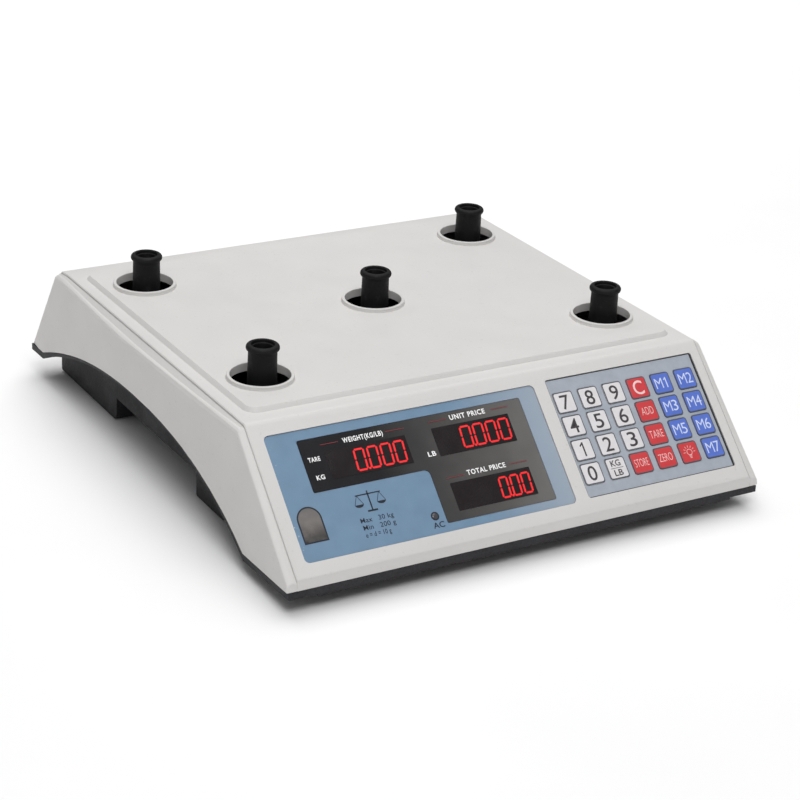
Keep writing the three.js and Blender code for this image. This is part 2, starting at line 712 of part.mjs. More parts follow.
function buildDisplayBoard() {
  const plate = solidSlab(polygon([
    [-132, -84],
    [18, -84],
    [18, -20],
    [-132, -20],
  ]), DISPLAY_BOARD_N - 1.6, DISPLAY_BOARD_N, SLOPE);
  const driver = (x) => solidSlab(polygon([
    [x, -66],
    [x + 22, -66],
    [x + 22, -58],
    [x, -58],
  ]), DISPLAY_BOARD_N - 5, DISPLAY_BOARD_N - 1.5, SLOPE);
  const header = solidSlab(polygon([
    [-118, -78],
    [-84, -78],
    [-84, -72],
    [-118, -72],
  ]), DISPLAY_BOARD_N - 9, DISPLAY_BOARD_N - 1.5, SLOPE);
  return toGeometry(join(plate, driver(-100), driver(-60), driver(-20), header));
}

function buildRearWindow() {
  const { half, top, bottom, r } = REAR_PANEL;
  return slab(roundedRect(-half, bottom, half, top, r), -1.2, -0.2, REAR);
}

function buildRearBoard() {
  const { half, top, bottom } = REAR_PANEL;
  const plate = solidSlab(roundedRect(-half + 6, bottom + 6, half - 6, top - 6, 1), -10.2, -8.6, REAR);
  const module = (x, w) => solidSlab(roundedRect(x - w / 2, bottom + 10, x + w / 2, top - 14, 0.5), -8.7, -2, REAR);
  return toGeometry(join(plate, module(-60, 50), module(0, 50), module(60, 50)));
}

// ---------------------------------------------------------------- electronics in the base
function buildMainBoard() {
  const z = TUB_FLOOR_Z + BASE_WALL + 5;
  const plate = box(-142, -44, -112, -22, z, z + 1.6);
  const parts = [
    box(-132, -104, -60, -52, z + 1, z + 22),
    box(-96, -68, -92, -64, z + 1, z + 4),
    box(-60, -50, -100, -60, z + 1, z + 9),
    rod(6, -128, -84, z + 1, z + 18, 16),
    rod(6, -112, -84, z + 1, z + 18, 16),
    rod(4, -90, -40, z + 1, z + 9, 16),
  ];
  const stands = [[-138, -108], [-48, -108], [-138, -26], [-48, -26]];
  const legs = stands.map(([x, y]) => rod(3, x, y, TUB_FLOOR_Z + BASE_WALL + GAP, z + 1, 12));
  return toGeometry(join(plate, ...parts, ...legs));
}

function buildTransformer() {
  const floor = TUB_FLOOR_Z + BASE_WALL + GAP;
  const core = box(66, 120, -70, -54, floor + 2, floor + 40);
  const coil = box(76, 110, -80, -44, floor + 9, floor + 33);
  const foot = box(58, 128, -70, -54, floor, floor + 2.5);
  return toGeometry(join(core, coil, foot));
}

function buildInlet() {
  const back = TUB_HALF - 20;
  const body = roundedRect(INLET.y - INLET.w / 2, INLET.z - INLET.h / 2, INLET.y + INLET.w / 2, INLET.z + INLET.h / 2, 1);
  const flange = roundedRect(INLET.y - 15.5, INLET.z - 12, INLET.y + 15.5, INLET.z + 12, 1.5);
  const mouth = roundedRect(INLET.y - 12, INLET.z - 8, INLET.y + 12, INLET.z + 8, 3);
  let inlet = join(
    solidSlab(body, back, TUB_HALF + GAP + 0.5, SIDE),
    solidSlab(flange, TUB_HALF + GAP, TUB_HALF + GAP + 2, SIDE),
  );
  inlet = cut(inlet, solidSlab(mouth, back + 4, TUB_HALF + 5, SIDE));
  [[-7, -1], [0, 1.5], [7, -1]].forEach(([dy, dz]) => {
    const pin = roundedRect(INLET.y + dy - 1, INLET.z + dz - 2, INLET.y + dy + 1, INLET.z + dz + 2, 0.2);
    inlet = join(inlet, solidSlab(pin, back + 3, TUB_HALF - 1, SIDE));
  });
  return toGeometry(inlet);
}

function buildSwitchBezel() {
  const back = TUB_HALF - 14;
  const body = roundedRect(SWITCH.y - SWITCH.w / 2, SWITCH.z - SWITCH.h / 2, SWITCH.y + SWITCH.w / 2,
    SWITCH.z + SWITCH.h / 2, 0.6);
  const flange = roundedRect(SWITCH.y - 10.8, SWITCH.z - 7.6, SWITCH.y + 10.8, SWITCH.z + 7.6, 1);
  const well = roundedRect(SWITCH.y - 8.2, SWITCH.z - 5.2, SWITCH.y + 8.2, SWITCH.z + 5.2, 0.4);
  return toGeometry(cut(
    join(
      solidSlab(body, back, TUB_HALF + GAP + 0.5, SIDE),
      solidSlab(flange, TUB_HALF + GAP, TUB_HALF + GAP + 1.6, SIDE),
    ),
    solidSlab(well, back + 5, TUB_HALF + 5, SIDE),
  ));
}

const ROCKER_TILT = THREE.MathUtils.degToRad(8);

function buildRocker() {
  const w = 7.6;
  const outline = polygon([
    [-w, -1.6],
    [-4, -3.4],
    [4, -3.4],
    [w, -1.6],
    [w, 2.6],
    [0, 1.7],
    [-w, 2.6],
  ]);
  const frame = makeFrame(AXIS_Y, AXIS_X, AXIS_Z.clone().negate(), new THREE.Vector3());
  const geometry = slab(outline, -4.8, 4.8, frame);
  geometry.rotateZ(ROCKER_TILT);
  geometry.translate(TUB_HALF + 0.2, SWITCH.y, SWITCH.z);
  return geometry;
}

// ---------------------------------------------------------------- weighing mechanism
function buildLoadCell() {
  const y0 = POST_CENTRE_Y - CELL.width / 2;
  const y1 = POST_CENTRE_Y + CELL.width / 2;
  const half = CELL.length / 2;
  const bar = box(-half, half, y0, y1, CELL.z, CELL.z + CELL.height);
  const mid = CELL.z + CELL.height / 2;
  const outline = new THREE.Shape();
  outline.absarc(-14, mid, 7.5, Math.PI / 2, 1.5 * Math.PI);
  outline.absarc(14, mid, 7.5, 1.5 * Math.PI, 2.5 * Math.PI);
  const frame = makeFrame(AXIS_X, AXIS_Z, AXIS_Y.clone().negate(), new THREE.Vector3());
  const slot = solidSlab(outline, -y1 - 1, -y0 + 1, frame, { curveSegments: 8 });
  return toGeometry(cut(bar, slot));
}

function spacer(x0, z0, z1) {
  const y0 = POST_CENTRE_Y - CELL.width / 2;
  const y1 = POST_CENTRE_Y + CELL.width / 2;
  return box(x0, x0 + SPACER_LENGTH, y0 + 1, y1 - 1, z0, z1);
}

function buildLowerSpacer() {
  return toGeometry(spacer(-CELL.length / 2, TUB_FLOOR_Z + BASE_WALL + GAP, CELL.z - GAP));
}

function buildUpperSpacer() {
  const low = CELL.z + CELL.height + PLATFORM_TRAVEL + GAP;
  return toGeometry(spacer(CELL.length / 2 - SPACER_LENGTH, low, SPIDER_Z - GAP));
}

function armShape(p, width) {
  const cx = PLATFORM_SHIFT_X;
  const dir = new THREE.Vector2(p.x, p.y - POST_CENTRE_Y).normalize();
  const side = new THREE.Vector2(-dir.y, dir.x).multiplyScalar(width / 2);
  return polygon([
    [cx + side.x, POST_CENTRE_Y + side.y],
    [cx - side.x, POST_CENTRE_Y - side.y],
    [cx + p.x - side.x, p.y - side.y],
    [cx + p.x + side.x, p.y + side.y],
  ]);
}

function buildSpider() {
  const z1 = SPIDER_Z + SPIDER_THICKNESS;
  const hub = solidSlab(roundedRect(-30, POST_CENTRE_Y - 22, 72, POST_CENTRE_Y + 22, 6), SPIDER_Z, z1);
  const corners = POSTS.filter((p) => p.x !== 0);
  const arms = corners.map((p) => solidSlab(armShape(p, 26), SPIDER_Z + 3, z1));
  const ribs = corners.map((p) => solidSlab(armShape(p, 6), SPIDER_Z - 4, z1 - 1));
  const pads = corners.map((p) => rod(15, p.x + PLATFORM_SHIFT_X, p.y, SPIDER_Z + 1, z1));
  const reach = SPACER_LENGTH + 8;
  const clear = box(CELL.length / 2 - reach, CELL.length / 2 + 4, POST_CENTRE_Y - 17, POST_CENTRE_Y + 17,
    SPIDER_Z - 5, SPIDER_Z);
  const overCell = box(-70, 70, POST_CENTRE_Y - 17, POST_CENTRE_Y + 17, SPIDER_Z - 5, SPIDER_Z);
  return toGeometry(cut(join(hub, ...arms, ...ribs, ...pads), clear, overCell));
}

function buildPost(p) {
  const bottom = SPIDER_Z + SPIDER_THICKNESS + GAP;
  const beadRadius = 2.5;
  const beadR = POST_HEAD_RADIUS - beadRadius;
  const beadZ = POST_TOP_Z - beadRadius;
  const socketZ = POST_TOP_Z - POST_SOCKET_DEPTH;
  const profile = [
    [0, bottom],
    [POST_BODY_RADIUS + 0.6, bottom],
    [POST_BODY_RADIUS + 0.4, bottom + 6],
    [POST_BODY_RADIUS - 0.2, beadZ - 2.6],
    ...arc(beadR, beadZ, beadRadius, -40, 90, 4),
    [POST_MOUTH_RADIUS + 0.5, POST_TOP_Z - 0.4],
    [POST_MOUTH_RADIUS, POST_TOP_Z - 1.6],
    [POST_MOUTH_RADIUS - 0.5, socketZ],
    [0, socketZ],
  ];
  return revolve(profile, p.x + PLATFORM_SHIFT_X, p.y, 24);
}

// ---------------------------------------------------------------- assembly
const KEY_NAMES = [
  ['key_7', 'key_8', 'key_9', 'key_clear', 'key_memory_1', 'key_memory_2'],
  ['key_4', 'key_5', 'key_6', 'key_add', 'key_memory_3', 'key_memory_4'],
  ['key_1', 'key_2', 'key_3', 'key_tare', 'key_memory_5', 'key_memory_6'],
  ['key_0', 'key_unit', 'key_store', 'key_zero', 'key_backlight', 'key_memory_7'],
];

function keyColour(name) {
  if (name.startsWith('key_memory')) return KEY_BLUE;
  const white = /^key_(\d|unit)$/;
  return white.test(name) ? KEY_WHITE : KEY_RED;
}

const scale = new THREE.Group();
scale.name = 'price_computing_scale';

function add(name, geometry, color, roughness, metalness = 0) {
  const mesh = new THREE.Mesh(geometry, new THREE.MeshStandardMaterial({ color, roughness, metalness }));
  mesh.name = name;
  scale.add(mesh);
}

add('top_cover', buildCover(), SHELL_GREY, 0.55);
add('base_shell', buildBase(), BASE_CHARCOAL, 0.75);
padPlaces().forEach((p) => add(p.name, buildPad(p), RUBBER_BLACK, 0.9));
CASE_SCREWS.forEach((s) => add(s.name, buildScrew(s), STEEL, 0.4, 0.9));
add('battery_door', buildBatteryDoor(), BASE_CHARCOAL, 0.75);
add('battery', buildBattery(), RUBBER_BLACK, 0.6);

add('display_overlay', buildDisplayOverlay(), OVERLAY_BLUE, 0.4);
add('display_window', buildDisplayWindow(), SMOKE, 0.15);
LED_BLOCKS.forEach((block) => add(block.name, buildLedBlock(block), LED_RED, 0.5));
add('display_board', buildDisplayBoard(), BOARD_GREEN, 0.6);
add('keypad_overlay', buildKeypadOverlay(), KEYPAD_BLUE_GREY, 0.45);
add('keypad_board', buildKeypadBoard(), BOARD_GREEN, 0.6);
KEY_NAMES.forEach((names, row) => {
  names.forEach((name, column) => add(name, buildKey(row, column), keyColour(name), 0.45));
});
add('rear_window', buildRearWindow(), SMOKE, 0.15);
add('rear_display_board', buildRearBoard(), BOARD_GREEN, 0.6);

add('main_board', buildMainBoard(), BOARD_GREEN, 0.6);
add('transformer', buildTransformer(), STEEL, 0.5, 0.6);
add('power_inlet', buildInlet(), RUBBER_BLACK, 0.5);
add('switch_bezel', buildSwitchBezel(), RUBBER_BLACK, 0.5);
add('power_rocker', buildRocker(), KEY_RED, 0.4);

add('load_cell', buildLoadCell(), ALUMINIUM, 0.35, 0.9);
add('lower_spacer', buildLowerSpacer(), STEEL, 0.4, 0.9);
add('upper_spacer', buildUpperSpacer(), STEEL, 0.4, 0.9);
add('load_spider', buildSpider(), ALUMINIUM, 0.45, 0.8);
POSTS.forEach((p) => add(p.name, buildPost(p), RUBBER_BLACK, 0.8));

export default scale;
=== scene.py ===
"""Looks of a price-computing counter scale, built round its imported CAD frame.

The frame gives every place. Lengths in the code are metres, and those on the printed panels are
millimetres from a panel's top left corner: across, down, and outward from its face.
"""

import json
import math
from collections import namedtuple

import bmesh
import bpy
import numpy as np
from bpy.props import FloatProperty, FloatVectorProperty, PointerProperty
from mathutils import Matrix, Vector

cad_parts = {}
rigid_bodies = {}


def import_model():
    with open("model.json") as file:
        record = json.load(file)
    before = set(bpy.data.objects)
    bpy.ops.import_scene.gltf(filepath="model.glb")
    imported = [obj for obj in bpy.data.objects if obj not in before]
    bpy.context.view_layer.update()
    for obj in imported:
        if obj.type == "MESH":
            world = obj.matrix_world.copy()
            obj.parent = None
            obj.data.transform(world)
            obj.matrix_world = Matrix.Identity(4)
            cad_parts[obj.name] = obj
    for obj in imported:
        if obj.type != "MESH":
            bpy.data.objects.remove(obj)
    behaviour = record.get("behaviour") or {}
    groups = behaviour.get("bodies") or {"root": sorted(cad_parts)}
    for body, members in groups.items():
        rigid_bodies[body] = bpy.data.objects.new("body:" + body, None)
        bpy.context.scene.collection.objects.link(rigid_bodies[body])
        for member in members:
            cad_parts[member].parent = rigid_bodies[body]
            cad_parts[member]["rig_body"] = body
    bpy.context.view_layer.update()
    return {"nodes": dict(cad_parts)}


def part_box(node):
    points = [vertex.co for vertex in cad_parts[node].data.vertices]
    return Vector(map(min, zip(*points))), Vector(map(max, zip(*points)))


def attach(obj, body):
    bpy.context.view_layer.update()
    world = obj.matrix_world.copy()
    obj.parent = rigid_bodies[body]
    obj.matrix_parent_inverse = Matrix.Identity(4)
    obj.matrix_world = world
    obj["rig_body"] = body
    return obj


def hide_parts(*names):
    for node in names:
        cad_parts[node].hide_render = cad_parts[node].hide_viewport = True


bl_info = {
    "name": "Counter scale looks",
    "version": (1, 0, 0),
    "blender": (4, 5, 0),
    "location": "3D View > Sidebar > Counter Scale",
    "description": "Skins, prints and finishes for a price-computing counter scale",
    "category": "Object",
}

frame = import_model()
MM = 0.001
HOUSING = "housing"
PLATFORM = "load_platform"
POSTS = sorted(name for name in frame["nodes"] if name.startswith("post_"))
KEYS = sorted(name for name in frame["nodes"] if name.startswith("key_"))

# ------------------------------------------------------------------ panels
Panel = namedtuple("Panel", "corner right up out width height")


def panel_of(node, away):
    """The largest face of a flat node that turns towards `away`, as a corner and three axes."""
    mesh = frame["nodes"][node].data
    normals = np.empty(len(mesh.polygons) * 3)
    areas = np.empty(len(mesh.polygons))
    mesh.polygons.foreach_get("normal", normals)
    mesh.polygons.foreach_get("area", areas)
    normals = normals.reshape(-1, 3)
    facing = normals @ np.array(away) > 0.5 * np.linalg.norm(away)
    kinds, kind = np.unique(np.round(normals[facing], 2), axis=0, return_inverse=True)
    out = kinds[np.argmax(np.bincount(kind.ravel(), areas[facing]))]
    exact = normals[facing][np.argmax(normals[facing] @ out)]
    out = exact / np.linalg.norm(exact)
    right = np.cross((0, 0, 1), out)
    right /= np.linalg.norm(right)
    up = np.cross(out, right)
    spots = np.empty(len(mesh.vertices) * 3)
    mesh.vertices.foreach_get("co", spots)
    local = spots.reshape(-1, 3) @ np.stack([right, up, out]).T
    low, high = local.min(0), local.max(0)
    corner = right * low[0] + up * high[1] + out * high[2]
    return Panel(corner, right, up, out, (high[0] - low[0]) / MM, (high[1] - low[1]) / MM)


def on_panel(panel, spots):
    """Points given as (across, down, outward) in millimetres, in the row frame."""
    a, b, h = (np.asarray(spots, float) * MM).T
    return panel.corner + a[:, None] * panel.right - b[:, None] * panel.up + h[:, None] * panel.out


DISPLAY = panel_of("display_overlay", (0, -1, 1))
KEYPAD = panel_of("keypad_overlay", (0, -1, 1))
REAR = panel_of("rear_window", (0, 1, 1))


# ------------------------------------------------------------------ meshes
def new_object(name, shape, body, material, smooth_angle=None):
    """A piece made from (points, faces), riding on a body, with its finish."""
    spots, faces = shape
    mesh = bpy.data.meshes.new(name)
    mesh.from_pydata(np.asarray(spots, float).tolist(), [], faces)
    mesh.update()
    piece = bpy.data.objects.new(name, mesh)
    bpy.context.scene.collection.objects.link(piece)
    mesh.materials.append(material)
    if smooth_angle is not None:
        mesh.shade_smooth()
        mesh.set_sharp_from_angle(angle=math.radians(smooth_angle))
    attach(piece, body)
    return piece


def ring_faces(rings, size, closed=False):
    """Quads between successive rings of `size` points; closed joins the last ring to the first."""
    i, j = np.meshgrid(np.arange(rings if closed else rings - 1), np.arange(size), indexing="ij")
    k = (j + 1) % size
    n = (i + 1) % rings
    quads = np.stack([i * size + j, i * size + k, n * size + k, n * size + j], axis=-1)
    return quads.reshape(-1, 4).tolist()


def lathe(profile, centre, segments=96):
    """Body of revolution: (r, z) turned to (r cos t, r sin t, z) about the vertical through centre.

    The profile starts and ends on the axis, closing with a fan, or its ends meet in a ring."""
    profile = np.asarray(profile, float)
    on_axis = profile[0, 0] == 0
    body = profile[1:-1] if on_axis else profile
    t = np.linspace(0, 2 * np.pi, segments, endpoint=False)
    r, z = body[:, 0, None], body[:, 1, None]
    spots = np.stack([r * np.cos(t), r * np.sin(t), z + 0 * t], axis=-1).reshape(-1, 3)
    faces = ring_faces(len(body), segments, closed=not on_axis)
    if on_axis:
        j = np.arange(segments)
        k = (j + 1) % segments
        first, last = len(spots), len(spots) + 1
        top = (len(body) - 1) * segments
        spots = np.vstack([spots, [0, 0, profile[0, 1]], [0, 0, profile[-1, 1]]])
        faces += np.stack([k, j, np.full(segments, first)], axis=-1).tolist()
        faces += np.stack([top + j, top + k, np.full(segments, last)], axis=-1).tolist()
    return spots + np.array([centre[0], centre[1], 0]), faces


def arc(cx, cy, r, start, stop, steps):
    """Points on a circle: (cx + r cos t, cy + r sin t), t in degrees from start to stop."""
    t = np.radians(np.linspace(start, stop, steps))
    return np.stack([cx + r * np.cos(t), cy + r * np.sin(t)], axis=-1)


def rounded_rect(cx, cy, w, h, r, steps=6):
    """Outline of a rectangle with round corners, anticlockwise, four arcs of radius r."""
    corners = [(1, 1, 0), (-1, 1, 90), (-1, -1, 180), (1, -1, 270)]
    arcs = [
        arc(cx + sx * (w / 2 - r), cy + sy * (h / 2 - r), r, start, start + 90, steps)
        for sx, sy, start in corners
    ]
    return np.vstack(arcs)


def stacked(outlines, heights, panel):
    """Closed body from a stack of equal outlines, each at its height, capped at both ends."""
    size = len(outlines[0])
    layers = [
        np.column_stack([o[:, 0], o[:, 1], np.full(size, h)]) for o, h in zip(outlines, heights)
    ]
    faces = ring_faces(len(layers), size)
    last = (len(layers) - 1) * size
    faces.append(list(range(size))[::-1])
    faces.append([last + j for j in range(size)])
    # Down the panel runs against its up axis, which turns the outlines over.
    faces = [face[::-1] for face in faces]
    return on_panel(panel, np.vstack(layers)), faces


def plate(outline, low, high, panel):
    """Flat prism on a panel: one outline at two heights."""
    return stacked([outline, outline], [low, high], panel)


def band(outer, inner, low, high, panel):
    """Flat closed frame between two equal outlines."""
    size = len(outer)
    loops = [(outer, low), (outer, high), (inner, high), (inner, low)]
    layers = [np.column_stack([o[:, 0], o[:, 1], np.full(size, h)]) for o, h in loops]
    faces = [face[::-1] for face in ring_faces(4, size, closed=True)]
    return on_panel(panel, np.vstack(layers)), faces


def merged(parts):
    """Several (spots, faces) pairs as one."""
    spots, faces, start = [], [], 0
    for part_spots, part_faces in parts:
        spots.append(part_spots)
        faces += [[start + v for v in face] for face in part_faces]
        start += len(part_spots)
    return np.vstack(spots), faces


def bar(a0, b0, a1, b1, width, low, high, panel):
    """Straight strip from one point of a panel to another."""
    start, end = np.array([a0, b0]), np.array([a1, b1])
    along = (end - start) / np.linalg.norm(end - start)
    side = np.array([-along[1], along[0]]) * width / 2
    outline = np.array([start - side, end - side, end + side, start + side])
    return plate(outline, low, high, panel)


CAP_HEIGHT = 0.682       # height of a capital of the built-in font, as a share of its size
INK = 0.05               # height of a layer of print


def lettering(body, a, b, w, h, panel, low=0.0, bold=0.0, spacing=1.0):
    """Text laid on a panel, w wide, with capitals h tall whose top left is at (a, b)."""
    curve = bpy.data.curves.new("lettering", "FONT")
    curve.body = body
    curve.extrude = 0.01
    curve.offset = bold
    curve.space_character = spacing
    curve.resolution_u = 4
    holder = bpy.data.objects.new("lettering", curve)
    bpy.context.scene.collection.objects.link(holder)
    bpy.context.view_layer.update()
    graph = bpy.context.evaluated_depsgraph_get()
    shape = bpy.data.meshes.new_from_object(holder.evaluated_get(graph))
    spots = np.empty(len(shape.vertices) * 3)
    shape.vertices.foreach_get("co", spots)
    spots = spots.reshape(-1, 3)
    lowest, size = spots.min(0), np.ptp(spots, axis=0)
    across = (spots[:, 0] - lowest[0]) / size[0]
    rise = spots[:, 1] / CAP_HEIGHT
    lift = (spots[:, 2] - lowest[2]) / size[2]
    faces = [list(p.vertices) for p in shape.polygons]
    bpy.data.objects.remove(holder)
    bpy.data.curves.remove(curve)
    bpy.data.meshes.remove(shape)
    laid = np.column_stack([a + across * w, b + (1 - rise) * h, low + lift * INK])
    return on_panel(panel, laid), faces


def skin_of(node, name, width, segments, material, angle=30):
    """Copy of a CAD node, its triangles merged, flats cleaned and edges softly rounded."""
    source = frame["nodes"][node]
    mesh = source.data.copy()
    mesh.name = name
    grid = bmesh.new()
    grid.from_mesh(mesh)
    bmesh.ops.remove_doubles(grid, verts=grid.verts, dist=2e-6)
    bmesh.ops.dissolve_limit(
        grid, angle_limit=math.radians(0.6), verts=grid.verts, edges=grid.edges
    )
    grid.to_mesh(mesh)
    grid.free()
    mesh.materials.clear()
    mesh.materials.append(material)
    piece = bpy.data.objects.new(name, mesh)
    bpy.context.scene.collection.objects.link(piece)
    mesh.shade_smooth()
    mesh.set_sharp_from_angle(angle=math.radians(angle))
    if width:
        bevel = piece.modifiers.new("edge_radius", "BEVEL")
        bevel.width = width
        bevel.segments = segments
        bevel.limit_method = "ANGLE"
        bevel.angle_limit = math.radians(angle)
        bevel.harden_normals = True
        bevel.use_clamp_overlap = True
        bevel.miter_outer = "MITER_ARC"
    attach(piece, source["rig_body"])
    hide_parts(node)


# ------------------------------------------------------------------ finishes
def srgb(r, g, b, a=1.0):
    """Colour given as it looks on screen, 0 to 255, in linear light."""
    c = np.array([r, g, b]) / 255
    linear = np.where(c <= 0.04045, c / 12.92, ((c + 0.055) / 1.055) ** 2.4)
    return (*linear.tolist(), a)


class Finish:
    """Short way to write a node material: a Principled shader and the nodes that feed it."""

    def __init__(self, name, roughness, metallic=0.0, specular=0.5, coat=0.0, coat_roughness=0.1):
        self.material = bpy.data.materials.new(name)
        self.material.use_nodes = True
        self.tree = self.material.node_tree
        self.shader = self.tree.nodes["Principled BSDF"]
        self.set("Roughness", roughness)
        self.set("Metallic", metallic)
        self.set("Specular IOR Level", specular)
        self.set("Coat Weight", coat)
        self.set("Coat Roughness", coat_roughness)
        self.place = self.add("ShaderNodeTexCoord").outputs["Object"]

    def add(self, kind, **values):
        node = self.tree.nodes.new(kind)
        for key, value in values.items():
            setattr(node, key, value)
        return node

    def link(self, a, b):
        self.tree.links.new(a, b)

    def set(self, socket, value):
        self.shader.inputs[socket].default_value = value

    def noise(self, scale, detail=4.0, roughness=0.55, stretch=None):
        """Fractal noise on object coordinates, scale in waves per metre."""
        node = self.add("ShaderNodeTexNoise")
        node.inputs["Scale"].default_value = scale
        node.inputs["Detail"].default_value = detail
        node.inputs["Roughness"].default_value = roughness
        source = self.place
        if stretch:
            mapping = self.add("ShaderNodeMapping")
            mapping.inputs["Scale"].default_value = stretch
            self.link(source, mapping.inputs["Vector"])
            source = mapping.outputs["Vector"]
        self.link(source, node.inputs["Vector"])
        return node.outputs["Fac"]

    def grain(self, scale):
        """Moulded grain: the distance between cells, scale in cells per metre."""
        node = self.add("ShaderNodeTexVoronoi", feature="SMOOTH_F1")
        node.inputs["Scale"].default_value = scale
        self.link(self.place, node.inputs["Vector"])
        return node.outputs["Distance"]

    def ramp(self, factor, stops):
        """A factor as a colour, from (place, colour) stops."""
        node = self.add("ShaderNodeValToRGB")
        points = node.color_ramp.elements
        while len(points) < len(stops):
            points.new(0.5)
        for point, (place, colour) in zip(points, stops):
            point.position = place
            point.color = colour
        self.link(factor, node.inputs["Fac"])
        return node.outputs["Color"]

    def mottle(self, factor, colour, low, high, start=0.3, stop=0.7):
        """One colour, low to high times as light while the factor goes from start to stop."""
        return self.ramp(factor, [(start, shaded(colour, low)), (stop, shaded(colour, high))])

    def spread(self, factor, low, high, start=0.3, stop=0.7):
        """Maps a factor from start..stop to low..high."""
        node = self.add("ShaderNodeMapRange")
        node.inputs["From Min"].default_value = start
        node.inputs["From Max"].default_value = stop
        node.inputs["To Min"].default_value = low
        node.inputs["To Max"].default_value = high
        self.link(factor, node.inputs["Value"])
        return node.outputs["Result"]

    def product(self, a, b):
        node = self.add("ShaderNodeMath", operation="MULTIPLY")
        self.link(a, node.inputs[0])
        self.link(b, node.inputs[1])
        return node.outputs[0]

    def mix(self, factor, a, b):
        node = self.add("ShaderNodeMix", data_type="RGBA")
        self.link(factor, node.inputs["Factor"])
        for socket, value in ((node.inputs["A"], a), (node.inputs["B"], b)):
            if isinstance(value, tuple):
                socket.default_value = value
            else:
                self.link(value, socket)
        return node.outputs["Result"]

    def axis(self, index):
        node = self.add("ShaderNodeSeparateXYZ")
        self.link(self.place, node.inputs["Vector"])
        return node.outputs[index]

    def colour(self, output):
        self.link(output, self.shader.inputs["Base Color"])

    def rough(self, output):
        self.link(output, self.shader.inputs["Roughness"])

    def bump(self, height, distance, strength=1.0, under=None):
        """Bump of a height, laid over an earlier one if given."""
        node = self.add("ShaderNodeBump")
        node.inputs["Distance"].default_value = distance
        node.inputs["Strength"].default_value = strength
        self.link(height, node.inputs["Height"])
        if under is not None:
            self.link(under, node.inputs["Normal"])
        self.link(node.outputs["Normal"], self.shader.inputs["Normal"])
        return node.outputs["Normal"]


def shaded(colour, factor):
    """The same colour lighter or darker."""
    return tuple(min(1.0, c * factor) for c in colour[:3]) + (1.0,)


def moulded(name, colour, grain_size, grain_depth, roughness, spread=0.06):
    """Moulded plastic: fine spark-eroded grain, faint cloudiness, and slightly uneven gloss."""
    finish = Finish(name, roughness=roughness, specular=0.4)
    clouds = finish.noise(14, 5)
    finish.colour(finish.mottle(clouds, colour, 1 - spread, 1 + spread))
    finish.rough(finish.spread(finish.noise(60, 4), roughness - 0.07, roughness + 0.08))
    finish.bump(finish.grain(1 / grain_size), grain_depth, 0.7)
    return finish.material


def shell_plastic(settings):
    """Warm light grey ABS with fine grain and a trace of handling dirt in broad patches."""
    colour = tuple(settings.shell_colour) + (1.0,)
    finish = Finish("shell_abs", roughness=0.5, specular=0.4)
    clouds = finish.noise(9, 5)
    base = finish.mottle(clouds, colour, 0.975, 1.02)
    specks = finish.spread(finish.noise(420, 2), 0.0, 0.22, 0.66, 0.74)
    finish.colour(finish.mix(specks, base, shaded(colour, 0.62)))
    finish.rough(finish.spread(finish.noise(45, 5), 0.42, 0.58))
    first = finish.bump(finish.noise(35, 3), 0.00025, 0.25)
    finish.bump(finish.grain(2600), 0.00003, 0.5, first)
    return finish.material


def base_plastic(settings):
    """Charcoal plastic with a coarse leather-like grain."""
    colour = tuple(settings.base_colour) + (1.0,)
    finish = Finish("base_abs", roughness=0.62, specular=0.36)
    pits = finish.grain(900)
    finish.colour(finish.mottle(pits, colour, 0.7, 1.35, 0.1, 0.6))
    finish.rough(finish.spread(finish.noise(50, 4), 0.55, 0.72))
    finish.bump(pits, 0.00018, 0.9)
    return finish.material


def moulded_rubber(settings):
    """Black rubber, matt, with a grey bloom that is stronger in broad patches."""
    colour = tuple(settings.rubber_colour) + (1.0,)
    finish = Finish("post_rubber", roughness=0.6, specular=0.22)
    bloom = finish.noise(170, 6, 0.65)
    stops = [(0.4, shaded(colour, 0.8)), (0.55, colour), (0.75, shaded(colour, 3.2))]
    finish.colour(finish.ramp(bloom, stops))
    finish.rough(finish.spread(bloom, 0.5, 0.75))
    finish.bump(finish.noise(900, 4), 0.00008, 0.6)
    return finish.material


def printed(name, colour, roughness, spread=0.04):
    """Screen print under polyester: even ink, slight mottling, fine velvet texture."""
    colour = tuple(colour)[:3] + (1.0,)
    finish = Finish(name, roughness=roughness, specular=0.5)
    mottle = finish.noise(160, 5)
    finish.colour(finish.mottle(mottle, colour, 1 - spread, 1 + spread))
    finish.rough(finish.spread(finish.noise(90, 3), roughness - 0.06, roughness + 0.06))
    finish.bump(finish.noise(1500, 2), 0.00002, 0.5)
    return finish.material


def overlay_ink(settings):
    """Dusty blue panel print with a painted reflection that pales it towards its right end, and
    worn pale flecks.
    """
    colour = tuple(settings.overlay_colour) + (1.0,)
    finish = Finish("panel_blue", roughness=0.35, specular=0.5)
    across = finish.axis("X")
    reflection_fade = finish.spread(across, 0.0, 1.0, -0.03, 0.036)
    mottle = finish.noise(60, 5)
    base = finish.mottle(mottle, colour, 0.96, 1.05)
    # Painted reflection: the blue turns greyish white towards the right end of the panel.
    pale = finish.mix(reflection_fade, base, srgb(156, 168, 182))
    flecks = finish.spread(finish.noise(420, 3), 0.0, 0.7, 0.64, 0.68)
    worn_edge = finish.spread(across, 1.0, 0.0, -0.1545, -0.1515)
    finish.colour(finish.mix(finish.product(flecks, worn_edge), pale, srgb(215, 222, 230)))
    finish.rough(finish.spread(finish.noise(120, 3), 0.28, 0.42))
    finish.bump(finish.noise(1400, 2), 0.00002, 0.5)
    return finish.material


